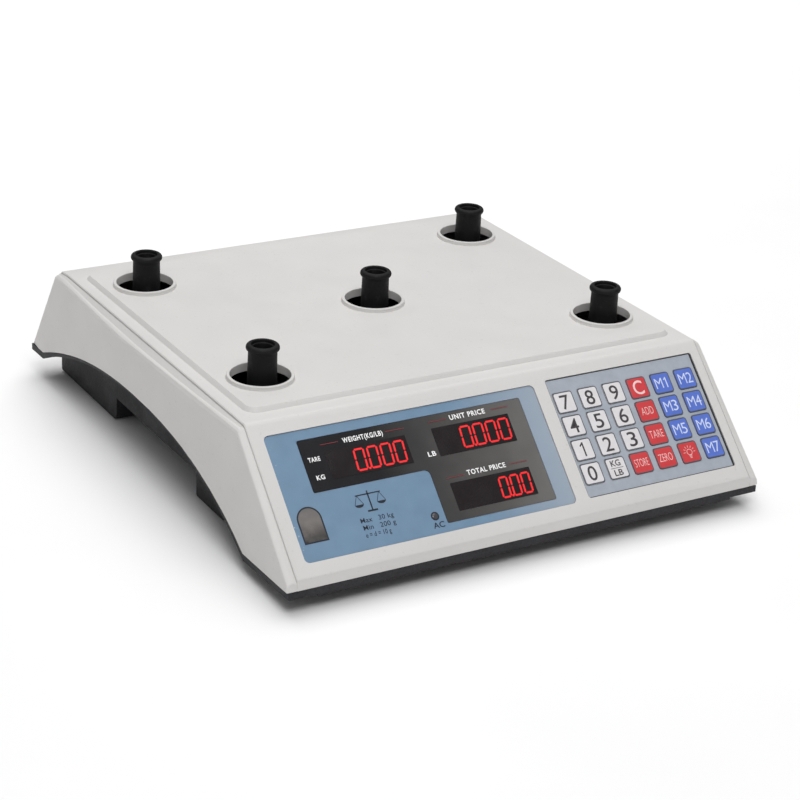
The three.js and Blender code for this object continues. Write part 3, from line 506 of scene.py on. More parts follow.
def smoked_acrylic(name, left, right):
    """Smoked window print with a painted reflection that lightens it towards its right end and in
    soft patches, and a glossy face.
    """
    finish = Finish(name, roughness=0.12, specular=0.6, coat=0.6, coat_roughness=0.05)
    across = finish.axis("X")
    reach = finish.spread(across, 0.0, 1.0, -0.09, 0.03)
    # The lighter colour at the right end is a painted reflection.
    tone = finish.ramp(reach, [(0.0, left), (1.0, right)])
    reflection_patches = finish.product(reach, finish.spread(finish.noise(16, 3), 0.0, 0.5, 0.4, 0.7))
    # Soft patches of painted reflection, lighter than the right end, over the right part.
    finish.colour(finish.mix(reflection_patches, tone, shaded(right, 1.7)))
    finish.rough(finish.spread(finish.noise(70, 4), 0.1, 0.22))
    finish.bump(finish.noise(700, 2), 0.00001, 0.3)
    return finish.material


def status_glass():
    """Glossy grey window with a painted reflection that pales its middle and shows in lighter
    patches, and dark towards its foot.
    """
    finish = Finish("status_smoke", roughness=0.1, specular=0.6, coat=0.5, coat_roughness=0.05)
    drop = finish.spread(finish.axis("Z"), 1.0, 0.0, 0.037, 0.054)
    # The pale middle stop is a painted reflection.
    stops = [(0.0, srgb(104, 103, 104)), (0.5, srgb(118, 114, 112)), (1.0, srgb(58, 55, 56))]
    tone = finish.ramp(drop, stops)
    reflection_patches = finish.spread(finish.noise(120, 3), 0.0, 0.35, 0.4, 0.7)
    # The lighter warm grey mixed in by patches is a painted reflection.
    finish.colour(finish.mix(reflection_patches, tone, srgb(140, 136, 132)))
    finish.rough(finish.spread(finish.noise(70, 4), 0.08, 0.2))
    return finish.material


def lit(name, colour, strength):
    """Glowing segments behind the window, slightly uneven from end to end."""
    finish = Finish(name, roughness=0.4)
    flicker = finish.noise(500, 2)
    finish.colour(finish.mottle(flicker, colour, 0.8, 1.0))
    finish.set("Emission Color", colour)
    finish.set("Emission Strength", strength)
    return finish.material


def metal(name, colour, roughness, stretch=(1, 1, 1)):
    """Machined metal: fine directional scratches over slight tarnish."""
    finish = Finish(name, roughness=roughness, metallic=1.0)
    scratches = finish.noise(300, 6, 0.7, stretch)
    finish.colour(finish.mottle(scratches, colour, 0.85, 1.1))
    finish.rough(finish.spread(scratches, roughness - 0.1, roughness + 0.12))
    finish.bump(scratches, 0.00003, 0.4)
    return finish.material


def circuit_green():
    """Solder mask over copper, with a faint pattern of tracks."""
    finish = Finish("solder_mask", roughness=0.35, specular=0.5, coat=0.4)
    brick = finish.add("ShaderNodeTexBrick")
    brick.inputs["Scale"].default_value = 160
    brick.inputs["Mortar Size"].default_value = 0.03
    brick.inputs["Color1"].default_value = srgb(28, 84, 50)
    brick.inputs["Color2"].default_value = srgb(34, 98, 58)
    brick.inputs["Mortar"].default_value = srgb(70, 130, 80)
    finish.link(finish.place, brick.inputs["Vector"])
    finish.colour(brick.outputs["Color"])
    finish.rough(finish.spread(finish.noise(80, 3), 0.3, 0.45))
    finish.bump(brick.outputs["Fac"], 0.00003, 0.3)
    return finish.material


# ------------------------------------------------------------------ settings
def colour_setting(name, description, colour):
    """A colour that the user may change; its default is given as it looks on screen."""
    return FloatVectorProperty(
        name=name, description=description, subtype="COLOR", size=3, default=srgb(*colour)[:3],
        min=0, max=1,
    )


class ShellSettings(bpy.types.PropertyGroup):
    """Cover, base and posts."""

    shell_colour: colour_setting("Cover", "Colour of the cover plastic", (211, 209, 207))
    base_colour: colour_setting("Base", "Colour of the base plastic", (36, 36, 39))
    rubber_colour: colour_setting("Rubber", "Colour of the posts and feet", (18, 18, 20))
    edge_radius: FloatProperty(
        name="Edge radius", description="Rounding of the cover's moulded edges", unit="LENGTH",
        default=0.0005, min=0, max=0.002,
    )
    collar_stand: FloatProperty(
        name="Collar stand", description="How far a collar stands off the cover's own ring",
        unit="LENGTH", default=0.00012, min=0, max=0.001,
    )


class PrintSettings(bpy.types.PropertyGroup):
    """Printed panels, keys and readings."""

    overlay_colour: colour_setting("Display panel", "Blue of the display panel", (112, 141, 167))
    keypad_colour: colour_setting("Keypad", "Blue-grey of the key panel", (165, 172, 182))
    white_key: colour_setting("White keys", "Number keys", (222, 219, 221))
    red_key: colour_setting("Red keys", "Function keys", (206, 62, 66))
    blue_key: colour_setting("Blue keys", "Memory keys", (88, 116, 204))
    glow: FloatProperty(
        name="Reading glow", description="Brightness of the lit segments", default=0.5, min=0,
        max=20,
    )


class StageSettings(bpy.types.PropertyGroup):
    """Camera place and lens."""

    azimuth: FloatProperty(
        name="Azimuth", description="Side the camera looks from; left is negative", subtype="ANGLE",
        default=math.radians(-31.418),
    )
    elevation: FloatProperty(
        name="Elevation", description="Height the camera looks down from", subtype="ANGLE",
        default=math.radians(23.752),
    )
    distance: FloatProperty(
        name="Distance", description="Camera to target", unit="LENGTH", default=1.4005, min=0.1,
    )
    target: FloatVectorProperty(
        name="Target", description="Point on the camera's axis", subtype="TRANSLATION", size=3,
        default=(-0.0326, -0.0826, 0.0665),
    )
    lens: FloatProperty(
        name="Lens", description="Focal length in millimetres", default=99.77, min=10,
    )
    roll: FloatProperty(
        name="Roll", description="Turn of the camera about its own axis", subtype="ANGLE",
        default=math.radians(3.017),
    )


# ------------------------------------------------------------------ housing
def build_cover(settings):
    """Cover with rounded edges, and a smooth collar over each of its five rings."""
    material = shell_plastic(settings)
    skin_of("top_cover", "cover_moulding", settings.edge_radius, 3, material, 24)
    spider_low, spider_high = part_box("load_spider")
    offset = (spider_low.x + spider_high.x) / 2
    for name in POSTS:
        low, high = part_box(name)
        # The posts stand a little to one side of the collars, with the spider that carries them.
        centre = ((low.x + high.x) / 2 - offset, (low.y + high.y) / 2)
        collar = collar_surface(centre, settings.collar_stand)
        new_object(name.replace("post", "collar"), collar, HOUSING, material, 35)


def collar_surface(centre, stand):
    """Collar: a straight bore, a rolled lip and a flared root, turned about one axis."""
    bore, outer = 0.019 - stand, 0.0208 + stand
    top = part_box("top_cover")[1].z + stand
    root = top - 0.0032
    lip = 0.0006
    profile = np.vstack([
        [[bore, root - 0.0024]],
        arc(bore + lip, top - lip, lip, 180, 90, 6),
        arc(outer - lip, top - lip, lip, 90, 0, 6),
        [[outer + 0.00005, root + 0.0012]],
        arc(outer + 0.0012, root + 0.0008, 0.0011, 190, 265, 5),
        [[outer + 0.0012, root - 0.0024]],
    ])
    return lathe(profile[::-1], centre, 128)


def build_base(settings):
    """Base tub with rim, its door, and the rubber pads and screws below it."""
    material = base_plastic(settings)
    skin_of("base_shell", "base_moulding", 0.0006, 2, material)
    skin_of("battery_door", "battery_door_moulding", 0.0003, 2, material)
    rubber = moulded("pad_rubber", tuple(settings.rubber_colour) + (1.0,), 0.0008, 0.0001, 0.7)
    zinc = metal("zinc_plate", srgb(186, 188, 190), 0.35)
    for name in frame["nodes"]:
        if name.startswith("rubber_foot"):
            dress(name, rubber)
        if name.startswith("case_screw"):
            dress(name, zinc)


def dress(name, material):
    """Puts a finish on a carried CAD node."""
    materials = frame["nodes"][name].data.materials
    materials.clear()
    materials.append(material)


def build_posts(settings):
    """Rubber posts: flared foot, waist, rolled head, and a socket that steps in below its mouth."""
    material = moulded_rubber(settings)
    for name in POSTS:
        low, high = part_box(name)
        centre = ((low.x + high.x) / 2, (low.y + high.y) / 2)
        foot, top = low.z, high.z
        head = (high.x - low.x) / 2
        bead = 0.0022
        mouth = 0.0072
        bore = 0.0064
        step = top - 0.0022
        neck = head - 0.0014
        profile = np.vstack([
            [[0, foot], [head - 0.0009, foot], [head - 0.0006, foot + 0.0008]],
            [[neck + 0.0003, foot + 0.008], [neck, top - 0.012]],
            [[neck - 0.0001, top - 2.1 * bead], [neck + 0.0002, top - 1.8 * bead]],
            arc(head - bead, top - bead, bead, -45, 90, 14),
            arc(mouth + 0.0006, top - 0.0006, 0.0006, 90, 180, 5),
            [[mouth - 0.0001, step + 0.0003]],
            arc(bore + 0.0003, step - 0.0003, 0.0003, 90, 180, 4),
            [[bore - 0.0001, top - 0.0152]],
            arc(bore - 0.0009, top - 0.0152, 0.0008, 0, -90, 4),
            [[0, top - 0.016]],
        ])
        skin = new_object(
            name + "_rubber", lathe(profile, centre), PLATFORM, material, 40
        )
        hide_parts(name)


# ------------------------------------------------------------------ display panel
SUNK = -0.05             # a piece let into the panel starts this far below its face
STROKE = 1.2             # width of a lit segment
GLOW_LIFT = 0.08         # a lit segment stands this much over its filter
SEGMENT_GAP = 0.16       # dark gap left at each end of a segment
DIGIT_LEAN = 0.07        # sideways lean of a digit, as a share of its height
WINDOW_LIFT = 0.03       # the smoked window's own print stands this much over the panel's face

READINGS = {
    # window: left, top, width, height; digits: left, width, pitch, count, top, height
    "weight": ((34.9, 15.6, 55.2, 18.1), (52.7, 7.5, 9.05, 4, 17.9, 14.4)),
    "unit_price": ((109.0, 14.9, 55.2, 18.3), (127.1, 7.7, 9.15, 4, 17.0, 14.4)),
    "total_price": ((108.4, 51.1, 56.6, 18.0), (140.6, 6.6, 7.9, 3, 53.7, 14.0)),
}
CAPTIONS = [
    # text, (across, down, width, height of capitals)
    ("WEIGHT(KG/LB)", (49.0, 9.9, 27.4, 3.0)),
    ("UNIT PRICE", (123.9, 8.8, 25.4, 3.1)),
    ("TOTAL PRICE", (122.2, 45.3, 27.6, 3.0)),
    ("TARE", (23.1, 18.1, 8.0, 2.7)),
    ("KG", (24.6, 29.7, 5.6, 2.7)),
    ("LB", (101.0, 29.2, 5.6, 2.9)),
]
RULES = [
    # the thin red lines on each side of a caption: start, stop, down
    (33.9, 45.9, 11.4), (78.3, 91.3, 11.1),
    (108.5, 121.1, 10.65), (153.8, 165.9, 10.25),
    (107.6, 120.1, 47.6), (152.8, 165.6, 47.05),
]
RATINGS = [
    ("Max   30 kg", (42.7, 60.8, 22.2, 2.9)),
    ("Min   200 g", (43.0, 65.4, 21.8, 2.9)),
    ("e = d = 10 g", (43.0, 70.0, 17.0, 2.9)),
]


def segment(a0, b0, a1, b1, width):
    """One bar of a digit: a hexagon pointed at both ends, from (a0, b0) to (a1, b1)."""
    start, end = np.array([a0, b0]), np.array([a1, b1])
    along = (end - start) / np.linalg.norm(end - start)
    side = np.array([-along[1], along[0]])
    half = width / 2
    return np.array([
        start,
        start + (along - side) * half,
        end - (along + side) * half,
        end,
        end - (along - side) * half,
        start + (along + side) * half,
    ])


def zero_digit(left, top, width, height, low, panel):
    """The digit 0 in seven segments: six bars round a box, sheared a little to the right."""
    turns = np.array([(0, 0), (1, 0), (1, 0.5), (1, 1), (0, 1), (0, 0.5)])
    corners = np.array([left, top]) + STROKE / 2 + turns * (width - STROKE, height - STROKE)
    bars = []
    for start, end in zip(corners, np.roll(corners, -1, axis=0)):
        step = (end - start) / np.linalg.norm(end - start) * SEGMENT_GAP
        outline = segment(*(start + step), *(end - step), STROKE)
        outline[:, 0] += (top + height / 2 - outline[:, 1]) * DIGIT_LEAN
        bars.append(plate(outline, low, low + GLOW_LIFT, panel))
    return merged(bars)


def build_readings(settings):
    """Dark filters, lit digits, white captions and thin red rules over the smoked window."""
    filter_black = printed("led_filter", srgb(30, 24, 26), 0.25, 0.1)
    red = lit("led_red", srgb(226, 34, 38), settings.glow)
    white = printed("ink_white", srgb(250, 250, 250), 0.45)
    rule_red = printed("ink_dark_red", srgb(128, 42, 50), 0.45)
    filter_top = 0.12
    for name, ((a, b, w, h), (left, width, pitch, count, top, height)) in READINGS.items():
        outline = rounded_rect(a + w / 2, b + h / 2, w, h, 0.3, 3)
        face = plate(outline, WINDOW_LIFT - 0.1, filter_top, DISPLAY)
        new_object(name + "_filter", face, HOUSING, filter_black)
        digits = [
            zero_digit(left + pitch * i, top, width, height, filter_top, DISPLAY)
            for i in range(count)
        ]
        point = left + width + 0.4
        dot = rounded_rect(point, top + height - 0.8, 1.5, 1.5, 0.6, 4)
        digits.append(plate(dot, filter_top, filter_top + GLOW_LIFT, DISPLAY))
        new_object(name + "_digits", merged(digits), HOUSING, red)
    words = [
        lettering(text, *place, DISPLAY, WINDOW_LIFT, bold=0.026, spacing=1.14)
        for text, place in CAPTIONS
    ]
    new_object("window_captions", merged(words), HOUSING, white)
    strips = [
        bar(start, down, stop, down, 0.42, WINDOW_LIFT - 0.02, WINDOW_LIFT + INK, DISPLAY)
        for start, stop, down in RULES
    ]
    new_object("window_rules", merged(strips), HOUSING, rule_red)


def tombstone(cx, top, bottom, width, grow):
    """Upright window with a straight foot and an arched head: half an ellipse over a rectangle."""
    half = width / 2 + grow
    spring = top + 8.0
    t = np.linspace(0, np.pi, 25)
    head = np.stack([cx + half * np.cos(t), spring - (spring - top + grow) * np.sin(t)], axis=-1)
    foot = np.array([[cx - half, bottom + grow], [cx + half, bottom + grow]])
    return np.vstack([head, foot])


def build_display_panel(settings):
    """Blue panel, smoked window, level window, mains lamp, emblem and rating lines."""
    dress("display_overlay", overlay_ink(settings))
    # The second, lighter warm grey is a painted reflection at the window's right end.
    smoke = smoked_acrylic("window_smoke", srgb(21, 21, 25), srgb(98, 96, 94))
    dress("display_window", smoke)
    ink = printed("ink_navy", srgb(26, 31, 42), 0.45)
    centre, top, bottom, width = 11.5, 46.8, 69.2, 16.0
    outer = tombstone(centre, top, bottom, width, 0.0)
    inner = tombstone(centre, top, bottom, width, -0.9)
    frame_band = band(outer, inner, SUNK, INK * 2, DISPLAY)
    new_object("status_window_frame", frame_band, HOUSING, ink)
    pane = plate(tombstone(centre, top, bottom, width, -0.4), SUNK, INK, DISPLAY)
    new_object("status_window", pane, HOUSING, status_glass())

    place = np.array([91.1, 69.0])
    circle = arc(0, 0, 1, 0, 351, 40)
    ring = band(place + circle * 2.7, place + circle * 1.9, SUNK, 0.12, DISPLAY)
    new_object("mains_lamp_ring", ring, HOUSING, ink)
    rise = np.linspace(0, 1, 8) * math.pi / 2.15
    outlines = [place + circle * 2.0 * math.cos(angle) for angle in rise]
    lens = stacked(outlines, SUNK + 0.5 * np.sin(rise), DISPLAY)
    lens_grey = printed("lamp_lens", srgb(74, 74, 78), 0.2)
    new_object("mains_lamp", lens, HOUSING, lens_grey, 50)

    parts = [lettering("AC", 87.8, 73.0, 7.8, 3.5, DISPLAY, bold=0.012)]
    for text, spot in RATINGS:
        parts.append(lettering(text, *spot, DISPLAY, bold=0.004, spacing=1.05))
    parts += balance_emblem(53.0, 44.6, 17.0, 12.6)
    new_object("panel_print", merged(parts), HOUSING, ink)


def balance_emblem(centre, top, width, height):
    """Plain two-pan balance: a post on a foot, and a beam with a bowl hung at each end."""
    low, high = 0.0, INK
    beam_b = top + height * 0.16
    foot_b = top + height
    parts = [
        bar(centre, top, centre, foot_b, 0.9, low, high, DISPLAY),
        bar(centre - width / 2, beam_b, centre + width / 2, beam_b, 0.7, low, high, DISPLAY),
        bar(centre - width * 0.2, foot_b, centre + width * 0.2, foot_b, 1.1, low, high, DISPLAY),
    ]
    bowl = width * 0.17
    for side in (-1, 1):
        end = centre + side * width * 0.44
        rim = top + height * 0.62
        for lean in (-1, 1):
            parts.append(bar(end, beam_b, end + lean * bowl, rim, 0.3, low, high, DISPLAY))
        t = np.linspace(0, np.pi, 15)
        outline = np.stack([end + bowl * np.cos(t), rim + bowl * 0.62 * np.sin(t)], axis=-1)
        parts.append(plate(outline[::-1], low, high, DISPLAY))
    return parts


# ------------------------------------------------------------------ keypad
LEGENDS = {"clear": "C", "add": "ADD", "tare": "TARE", "store": "STORE", "zero": "ZERO"}
KEY_RADIUS = 1.8
LEGEND_LOW = 0.5         # where a legend starts, over the panel's face


def key_colour(name, settings):
    """(finish colour, legend colour, record slot) of a key, by its name."""
    if name.startswith("key_memory"):
        return settings.blue_key, srgb(206, 216, 244), "key_blue"
    if name == "key_unit" or name[-1].isdigit():
        return settings.white_key, srgb(66, 62, 66), "key_white"
    return settings.red_key, srgb(240, 206, 206), "key_red"


def key_place(name):
    """Centre of a key on its panel, and its width and height, in panel millimetres."""
    low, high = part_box(name)
    middle = np.array((low + high) / 2) - KEYPAD.corner
    face = panel_of(name, (0, -1, 1))
    return middle @ KEYPAD.right / MM, -(middle @ KEYPAD.up) / MM, face.width, face.height


def key_surface(cx, cy, w, h):
    """Key: rounded outline and raised edge, then a face that domes by (1 - t^2) of its crown."""
    crown, edge = 0.12, 0.42
    shrink = np.array([0.0, 0.0, 0.06, 0.25])
    rise = np.array([-0.3, edge - 0.16, edge - 0.05, edge])
    outlines = [
        rounded_rect(cx, cy, w - 2 * s, h - 2 * s, KEY_RADIUS - s * 0.6) for s in shrink
    ]
    heights = list(rise)
    centre = np.array([cx, cy])
    for t in (0.85, 0.6, 0.3, 0.08):
        outlines.append(centre + (outlines[3] - centre) * t)
        heights.append(edge + crown * (1 - t * t))
    return stacked(outlines, heights, KEYPAD)


def key_word(text, cx, b, w, h, bold=0.0):
    """A word centred on cx, with its top at b, printed on a key."""
    return lettering(text, cx - w / 2, b, w, h, KEYPAD, LEGEND_LOW, bold=bold)


def key_bar(a0, b0, a1, b1, width):
    """A straight stroke printed on a key."""
    return bar(a0, b0, a1, b1, width, LEGEND_LOW, LEGEND_LOW + INK, KEYPAD)


def key_legend(name, cx, cy):
    """The print on one key."""
    if name.startswith("key_memory"):
        letter = key_word("M", cx - 2.4, cy - 3.6, 5.6, 7.2, -0.005)
        return [letter, *digit_print(name[-1], cx + 3.1, cy - 3.6, 4.0, 7.2, -0.002)]
    if name[-1].isdigit():
        return digit_print(name[-1], cx, cy - 4.7, 6.3, 9.4, 0.006)
    if name == "key_unit":
        return [
            key_word("KG", cx - 0.2, cy - 5.2, 7.2, 3.9, 0.014),
            key_word("LB", cx, cy + 1.2, 6.4, 3.9, 0.014),
            key_bar(cx - 4.6, cy, cx + 4.6, cy, 0.34),
        ]
    if name == "key_backlight":
        return lamp_sign(cx, cy)
    word = LEGENDS[name.removeprefix("key_")]
    if len(word) == 1:
        return [key_word(word, cx, cy - 4.6, 7.6, 9.2, 0.01)]
    return [key_word(word, cx, cy - 2.6, 9.0 if len(word) == 3 else 10.4, 5.2, -0.012)]


def digit_print(digit, cx, b, w, h, bold):
    """A digit centred on cx with its top at b. The 1 is drawn as a stem and a flag."""
    if digit != "1":
        return [key_word(digit, cx, b, w, h, bold)]
    stroke = h * 0.115
    stem = cx + w * 0.08
    return [
        key_bar(stem, b, stem, b + h, stroke),
        key_bar(stem - w * 0.34, b + h * 0.26, stem, b + h * 0.05, stroke * 0.85),
    ]


def lamp_sign(cx, cy):
    """Bulb with rays: a ring, a cap of three bars, and short strokes on a half circle."""
    circle = arc(0, 0, 1, 0, 348.75, 32)
    place = np.array([cx, cy])
    glass = band(place + circle * 2.1, place + circle * 1.75, LEGEND_LOW, LEGEND_LOW + INK, KEYPAD)
    cap = [
        key_bar(cx - half, cy + drop, cx + half, cy + drop, 0.35)
        for drop, half in ((2.3, 1.1), (3.1, 1.0), (3.9, 0.8))
    ]
    rays = [
        key_bar(*(place + u * 3.0), *(place + u * 4.6), 0.3) for u in arc(0, 0, 1, -180, 0, 7)
    ]
    return [glass, *cap, *rays]


def recess_shadow_strips():
    """Dark strips of painted shadow in the gap round the panel: thin on three sides, wider on the
    right.
    """
    w, h = KEYPAD.width, KEYPAD.height
    low, high = -0.3, 0.06
    return merged([
        bar(0, 0.2, w, 0.2, 0.4, low, high, KEYPAD),
        bar(0, h - 0.15, w, h - 0.15, 0.3, low, high, KEYPAD),
        bar(0.15, 0.4, 0.15, h - 0.3, 0.3, low, high, KEYPAD),
        bar(w - 0.6, 0.4, w - 0.6, h - 0.3, 1.2, low, high, KEYPAD),
    ])


def build_keypad(settings):
    """Blue-grey panel, and 24 domed keys with dark outlines and printed legends."""
    dress("keypad_overlay", printed("panel_blue_grey", settings.keypad_colour, 0.42, 0.06))
    outline_ink = printed("ink_key_outline", srgb(84, 86, 94), 0.5)
    # Painted shadow: near-black strips stand for the shade in the recess gap round the panel.
    recess_shadow = printed("recess_shadow_black", srgb(28, 28, 32), 0.6)
    new_object("keypad_recess_shadow", recess_shadow_strips(), HOUSING, recess_shadow)
    prints, inks = {}, {}
    for name in KEYS:
        colour, ink_colour, slot = key_colour(name, settings)
        if slot not in prints:
            prints[slot] = printed(slot + "_print", colour, 0.42, 0.05)
            inks[slot] = printed(slot + "_legend", ink_colour, 0.45)
        a, b, w, h = key_place(name)
        body = frame["nodes"][name]["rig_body"]
        surface = key_surface(a, b, w, h)
        key = new_object(name + "_face", surface, body, prints[slot], 40)
        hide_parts(name)
        outer = rounded_rect(a, b, w, h, KEY_RADIUS)
        inner = rounded_rect(a, b, w - 1.2, h - 1.2, 1.3)
        edge = band(outer, inner, 0.2, 0.47, KEYPAD)
        new_object(name + "_outline", edge, body, outline_ink)
        legend = merged(key_legend(name, a, b))
        new_object(name + "_legend", legend, body, inks[slot])


# ------------------------------------------------------------------ rear and inside
def build_rear(settings):
    """Customer's window and the readings behind it."""
    # The second, lighter grey is a painted reflection at the window's right end.
    smoke = smoked_acrylic("rear_smoke", srgb(46, 45, 48), srgb(58, 56, 58))
    dress("rear_window", smoke)
    filter_black = printed("rear_filter", srgb(28, 22, 24), 0.25, 0.1)
    red = lit("rear_led_red", srgb(226, 34, 38), settings.glow)
    white = printed("rear_ink_white", srgb(238, 238, 238), 0.45)
    middle = REAR.width / 2
    pitch, low = 9.2, 0.1
    words = []
    for index, (text, count) in enumerate((("WEIGHT", 4), ("UNIT PRICE", 4), ("TOTAL PRICE", 3))):
        centre = middle + (index - 1) * 61
        face = plate(rounded_rect(centre, 26, 52, 19, 0.3, 3), SUNK, low, REAR)
        new_object(f"rear_filter_{index + 1}", face, HOUSING, filter_black)
        right = centre + 23.5
        digits = [
            zero_digit(right - pitch * (i + 1), 19.5, 7.0, 13.4, low, REAR) for i in range(count)
        ]
        dot = rounded_rect(right - pitch * (count - 1) - 1.2, 32.1, 1.5, 1.5, 0.6, 4)
        digits.append(plate(dot, low, low + GLOW_LIFT, REAR))
        new_object(f"rear_digits_{index + 1}", merged(digits), HOUSING, red)
        width = 2.6 * len(text)
        words.append(lettering(text, centre - width / 2, 8.5, width, 3.0, REAR, bold=0.01))
    new_object("rear_captions", merged(words), HOUSING, white)


def build_inside():
    """Finishes of the pieces inside the housing and on its right-hand wall."""
    green = circuit_green()
    black = moulded("fitting_black", srgb(30, 30, 32), 0.0007, 0.00005, 0.45)
    cast = metal("cast_aluminium", srgb(190, 192, 194), 0.42)
    bar_metal = metal("milled_aluminium", srgb(205, 207, 210), 0.28, (1, 12, 12))
    steel = metal("ground_steel", srgb(150, 151, 154), 0.32, (1, 14, 1))
    iron = metal("laminated_iron", srgb(104, 104, 108), 0.5, (1, 40, 1))
    module = printed("led_module_face", srgb(70, 18, 20), 0.3, 0.1)
    red = printed("rocker_red", srgb(176, 26, 30), 0.28, 0.06)
    finishes = (
        (green, ("display_board", "keypad_board", "main_board", "rear_display_board")),
        (module, ("weight_display", "unit_price_display", "total_price_display")),
        (black, ("battery",)),
        (iron, ("transformer",)),
        (bar_metal, ("load_cell",)),
        (cast, ("load_spider",)),
        (steel, ("lower_spacer", "upper_spacer")),
    )
    for material, names in finishes:
        for name in names:
            dress(name, material)
    for node, material, slot in (
        ("power_inlet", black, "black_plastic"),
        ("switch_bezel", black, "black_plastic"),
        ("power_rocker", red, "rocker_red"),
    ):
        skin_of(node, node + "_moulding", 0.0003, 2, material)


# ------------------------------------------------------------------ stage
FLOOR_REACH = 16.0       # half the side of the floor
FLOOR_CELLS = 24
SKY_STRENGTH = 0.24
LIGHTS = [
    # name, place, aim, size, watts
    ("key_softbox", (-0.55, -1.3, 1.9), (0, 0, 0.05), (1.2, 1.0), 22),
    ("top_softbox", (0.15, 0.3, 2.0), (0, 0, 0.05), (2.0, 2.0), 25),
    ("backdrop_softbox", (0.7, 1.5, 1.9), (0.9, 3.0, 0), (3.2, 1.5), 36),
]


def area_light(name, place, aim, size, power):
    """A rectangular soft light at a place, turned towards a point."""
    light = bpy.data.lights.new(name, "AREA")
    light.shape = "RECTANGLE"
    light.size, light.size_y = size
    light.energy = power
    lamp = bpy.data.objects.new(name, light)
    bpy.context.scene.collection.objects.link(lamp)
    lamp.location = place
    lamp.rotation_euler = (Vector(aim) - Vector(place)).to_track_quat("-Z", "Y").to_euler()


def build_stage(settings):
    """Camera, pale floor and soft lights."""
    scene = bpy.context.scene
    scene.view_settings.view_transform = "Standard"
    camera = bpy.data.cameras.new("camera")
    camera.lens = settings.lens
    camera.sensor_width = 36
    camera.clip_start = 0.05
    camera.dof.use_dof = False
    holder = bpy.data.objects.new("camera", camera)
    scene.collection.objects.link(holder)
    a, e = settings.azimuth, settings.elevation
    back = Vector((math.sin(a) * math.cos(e), -math.cos(a) * math.cos(e), math.sin(e)))
    right = Vector((math.cos(a), math.sin(a), 0))
    up = back.cross(right)
    turn = Matrix((right, up, back)).transposed().to_4x4() @ Matrix.Rotation(settings.roll, 4, "Z")
    place = Vector(settings.target) + back * settings.distance
    holder.matrix_world = Matrix.Translation(place) @ turn
    scene.camera = holder

    t = np.linspace(-FLOOR_REACH, FLOOR_REACH, FLOOR_CELLS + 1)
    x, y = np.meshgrid(t, t)
    spots = np.stack([x, y, 0 * x], axis=-1).reshape(-1, 3)
    i, j = np.meshgrid(np.arange(FLOOR_CELLS), np.arange(FLOOR_CELLS), indexing="ij")
    near = i * (FLOOR_CELLS + 1) + j
    far = near + FLOOR_CELLS + 1
    faces = np.stack([near, near + 1, far + 1, far], axis=-1)
    mesh = bpy.data.meshes.new("floor")
    mesh.from_pydata(spots.tolist(), [], faces.reshape(-1, 4).tolist())
    floor = bpy.data.objects.new("floor", mesh)
    scene.collection.objects.link(floor)
    finish = Finish("floor_paper", roughness=0.9, specular=0.1)
    stops = [(0.3, srgb(247, 247, 247)), (0.7, srgb(251, 251, 251))]
    finish.colour(finish.ramp(finish.noise(3, 3), stops))
    mesh.materials.append(finish.material)

    world = bpy.data.worlds.new("studio")
    world.use_nodes = True
    sky = world.node_tree.nodes["Background"]
    sky.inputs["Color"].default_value = (1, 1, 1, 1)
    sky.inputs["Strength"].default_value = SKY_STRENGTH
    scene.world = world
    for light in LIGHTS:
        area_light(*light)


# ------------------------------------------------------------------ operators
class SCALE_OT_cover(bpy.types.Operator):
    """Make the cover and its collars"""

    bl_idname = "scale.cover"
    bl_label = "Cover"

    def execute(self, context):
        build_cover(context.scene.scale_shell)
        return {"FINISHED"}


class SCALE_OT_base(bpy.types.Operator):
    """Make the base, its door, pads and screws"""

    bl_idname = "scale.base"
    bl_label = "Base"

    def execute(self, context):
        build_base(context.scene.scale_shell)
        return {"FINISHED"}


class SCALE_OT_posts(bpy.types.Operator):
    """Make the five rubber posts"""

    bl_idname = "scale.posts"
    bl_label = "Posts"

    def execute(self, context):
        build_posts(context.scene.scale_shell)
        return {"FINISHED"}


class SCALE_OT_display(bpy.types.Operator):
    """Make the display panel and its readings"""

    bl_idname = "scale.display"
    bl_label = "Display panel"

    def execute(self, context):
        build_display_panel(context.scene.scale_print)
        build_readings(context.scene.scale_print)
        return {"FINISHED"}


class SCALE_OT_keypad(bpy.types.Operator):
    """Make the key panel and its keys"""

    bl_idname = "scale.keypad"
    bl_label = "Keypad"

    def execute(self, context):
        build_keypad(context.scene.scale_print)
        return {"FINISHED"}


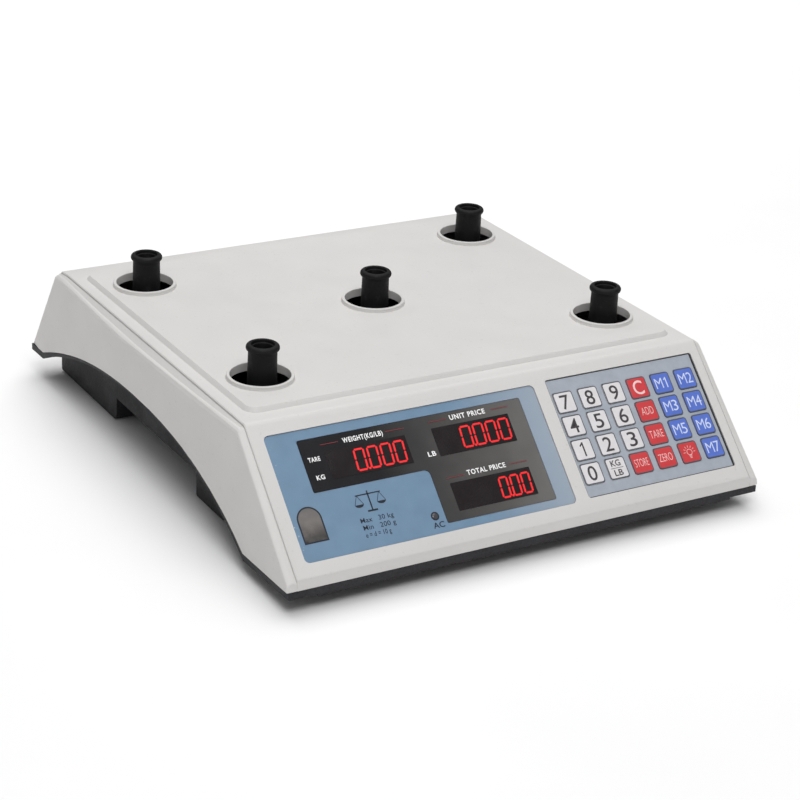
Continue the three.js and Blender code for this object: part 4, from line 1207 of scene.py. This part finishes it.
class SCALE_OT_rear(bpy.types.Operator):
    """Make the customer's display on the rear face"""

    bl_idname = "scale.rear"
    bl_label = "Rear display"

    def execute(self, context):
        build_rear(context.scene.scale_print)
        return {"FINISHED"}


class SCALE_OT_inside(bpy.types.Operator):
    """Finish the pieces inside and on the right-hand wall"""

    bl_idname = "scale.inside"
    bl_label = "Inner pieces"

    def execute(self, context):
        build_inside()
        return {"FINISHED"}


class SCALE_OT_stage(bpy.types.Operator):
    """Make the camera, floor and lights"""

    bl_idname = "scale.stage"
    bl_label = "Stage"

    def execute(self, context):
        build_stage(context.scene.scale_stage)
        return {"FINISHED"}


class SCALE_PT_looks(bpy.types.Panel):
    """Sizes, colours and makers of the counter scale"""

    bl_label = "Counter scale"
    bl_space_type = "VIEW_3D"
    bl_region_type = "UI"
    bl_category = "Counter Scale"

    def draw(self, context):
        layout = self.layout
        for operator in OPERATORS:
            layout.operator(operator.bl_idname)
        for name in SETTINGS:
            group = getattr(context.scene, name)
            box = layout.box()
            for key in group.__annotations__:
                box.prop(group, key)


SETTINGS = {
    "scale_shell": ShellSettings,
    "scale_print": PrintSettings,
    "scale_stage": StageSettings,
}
OPERATORS = [
    SCALE_OT_stage,
    SCALE_OT_cover,
    SCALE_OT_base,
    SCALE_OT_posts,
    SCALE_OT_display,
    SCALE_OT_keypad,
    SCALE_OT_rear,
    SCALE_OT_inside,
]


def register():
    """Registers the classes and hangs the settings on the scene."""
    for kind in (*SETTINGS.values(), *OPERATORS, SCALE_PT_looks):
        bpy.utils.register_class(kind)
    for name, kind in SETTINGS.items():
        setattr(bpy.types.Scene, name, PointerProperty(type=kind))


def unregister():
    """Takes the settings and classes away again."""
    for name in SETTINGS:
        delattr(bpy.types.Scene, name)
    for kind in (SCALE_PT_looks, *reversed(OPERATORS), *SETTINGS.values()):
        bpy.utils.unregister_class(kind)


def main():
    """Makes every piece in order."""
    register()
    for operator in OPERATORS:
        family, name = operator.bl_idname.split(".")
        getattr(getattr(bpy.ops, family), name)()


if __name__ == "__main__":
    main()
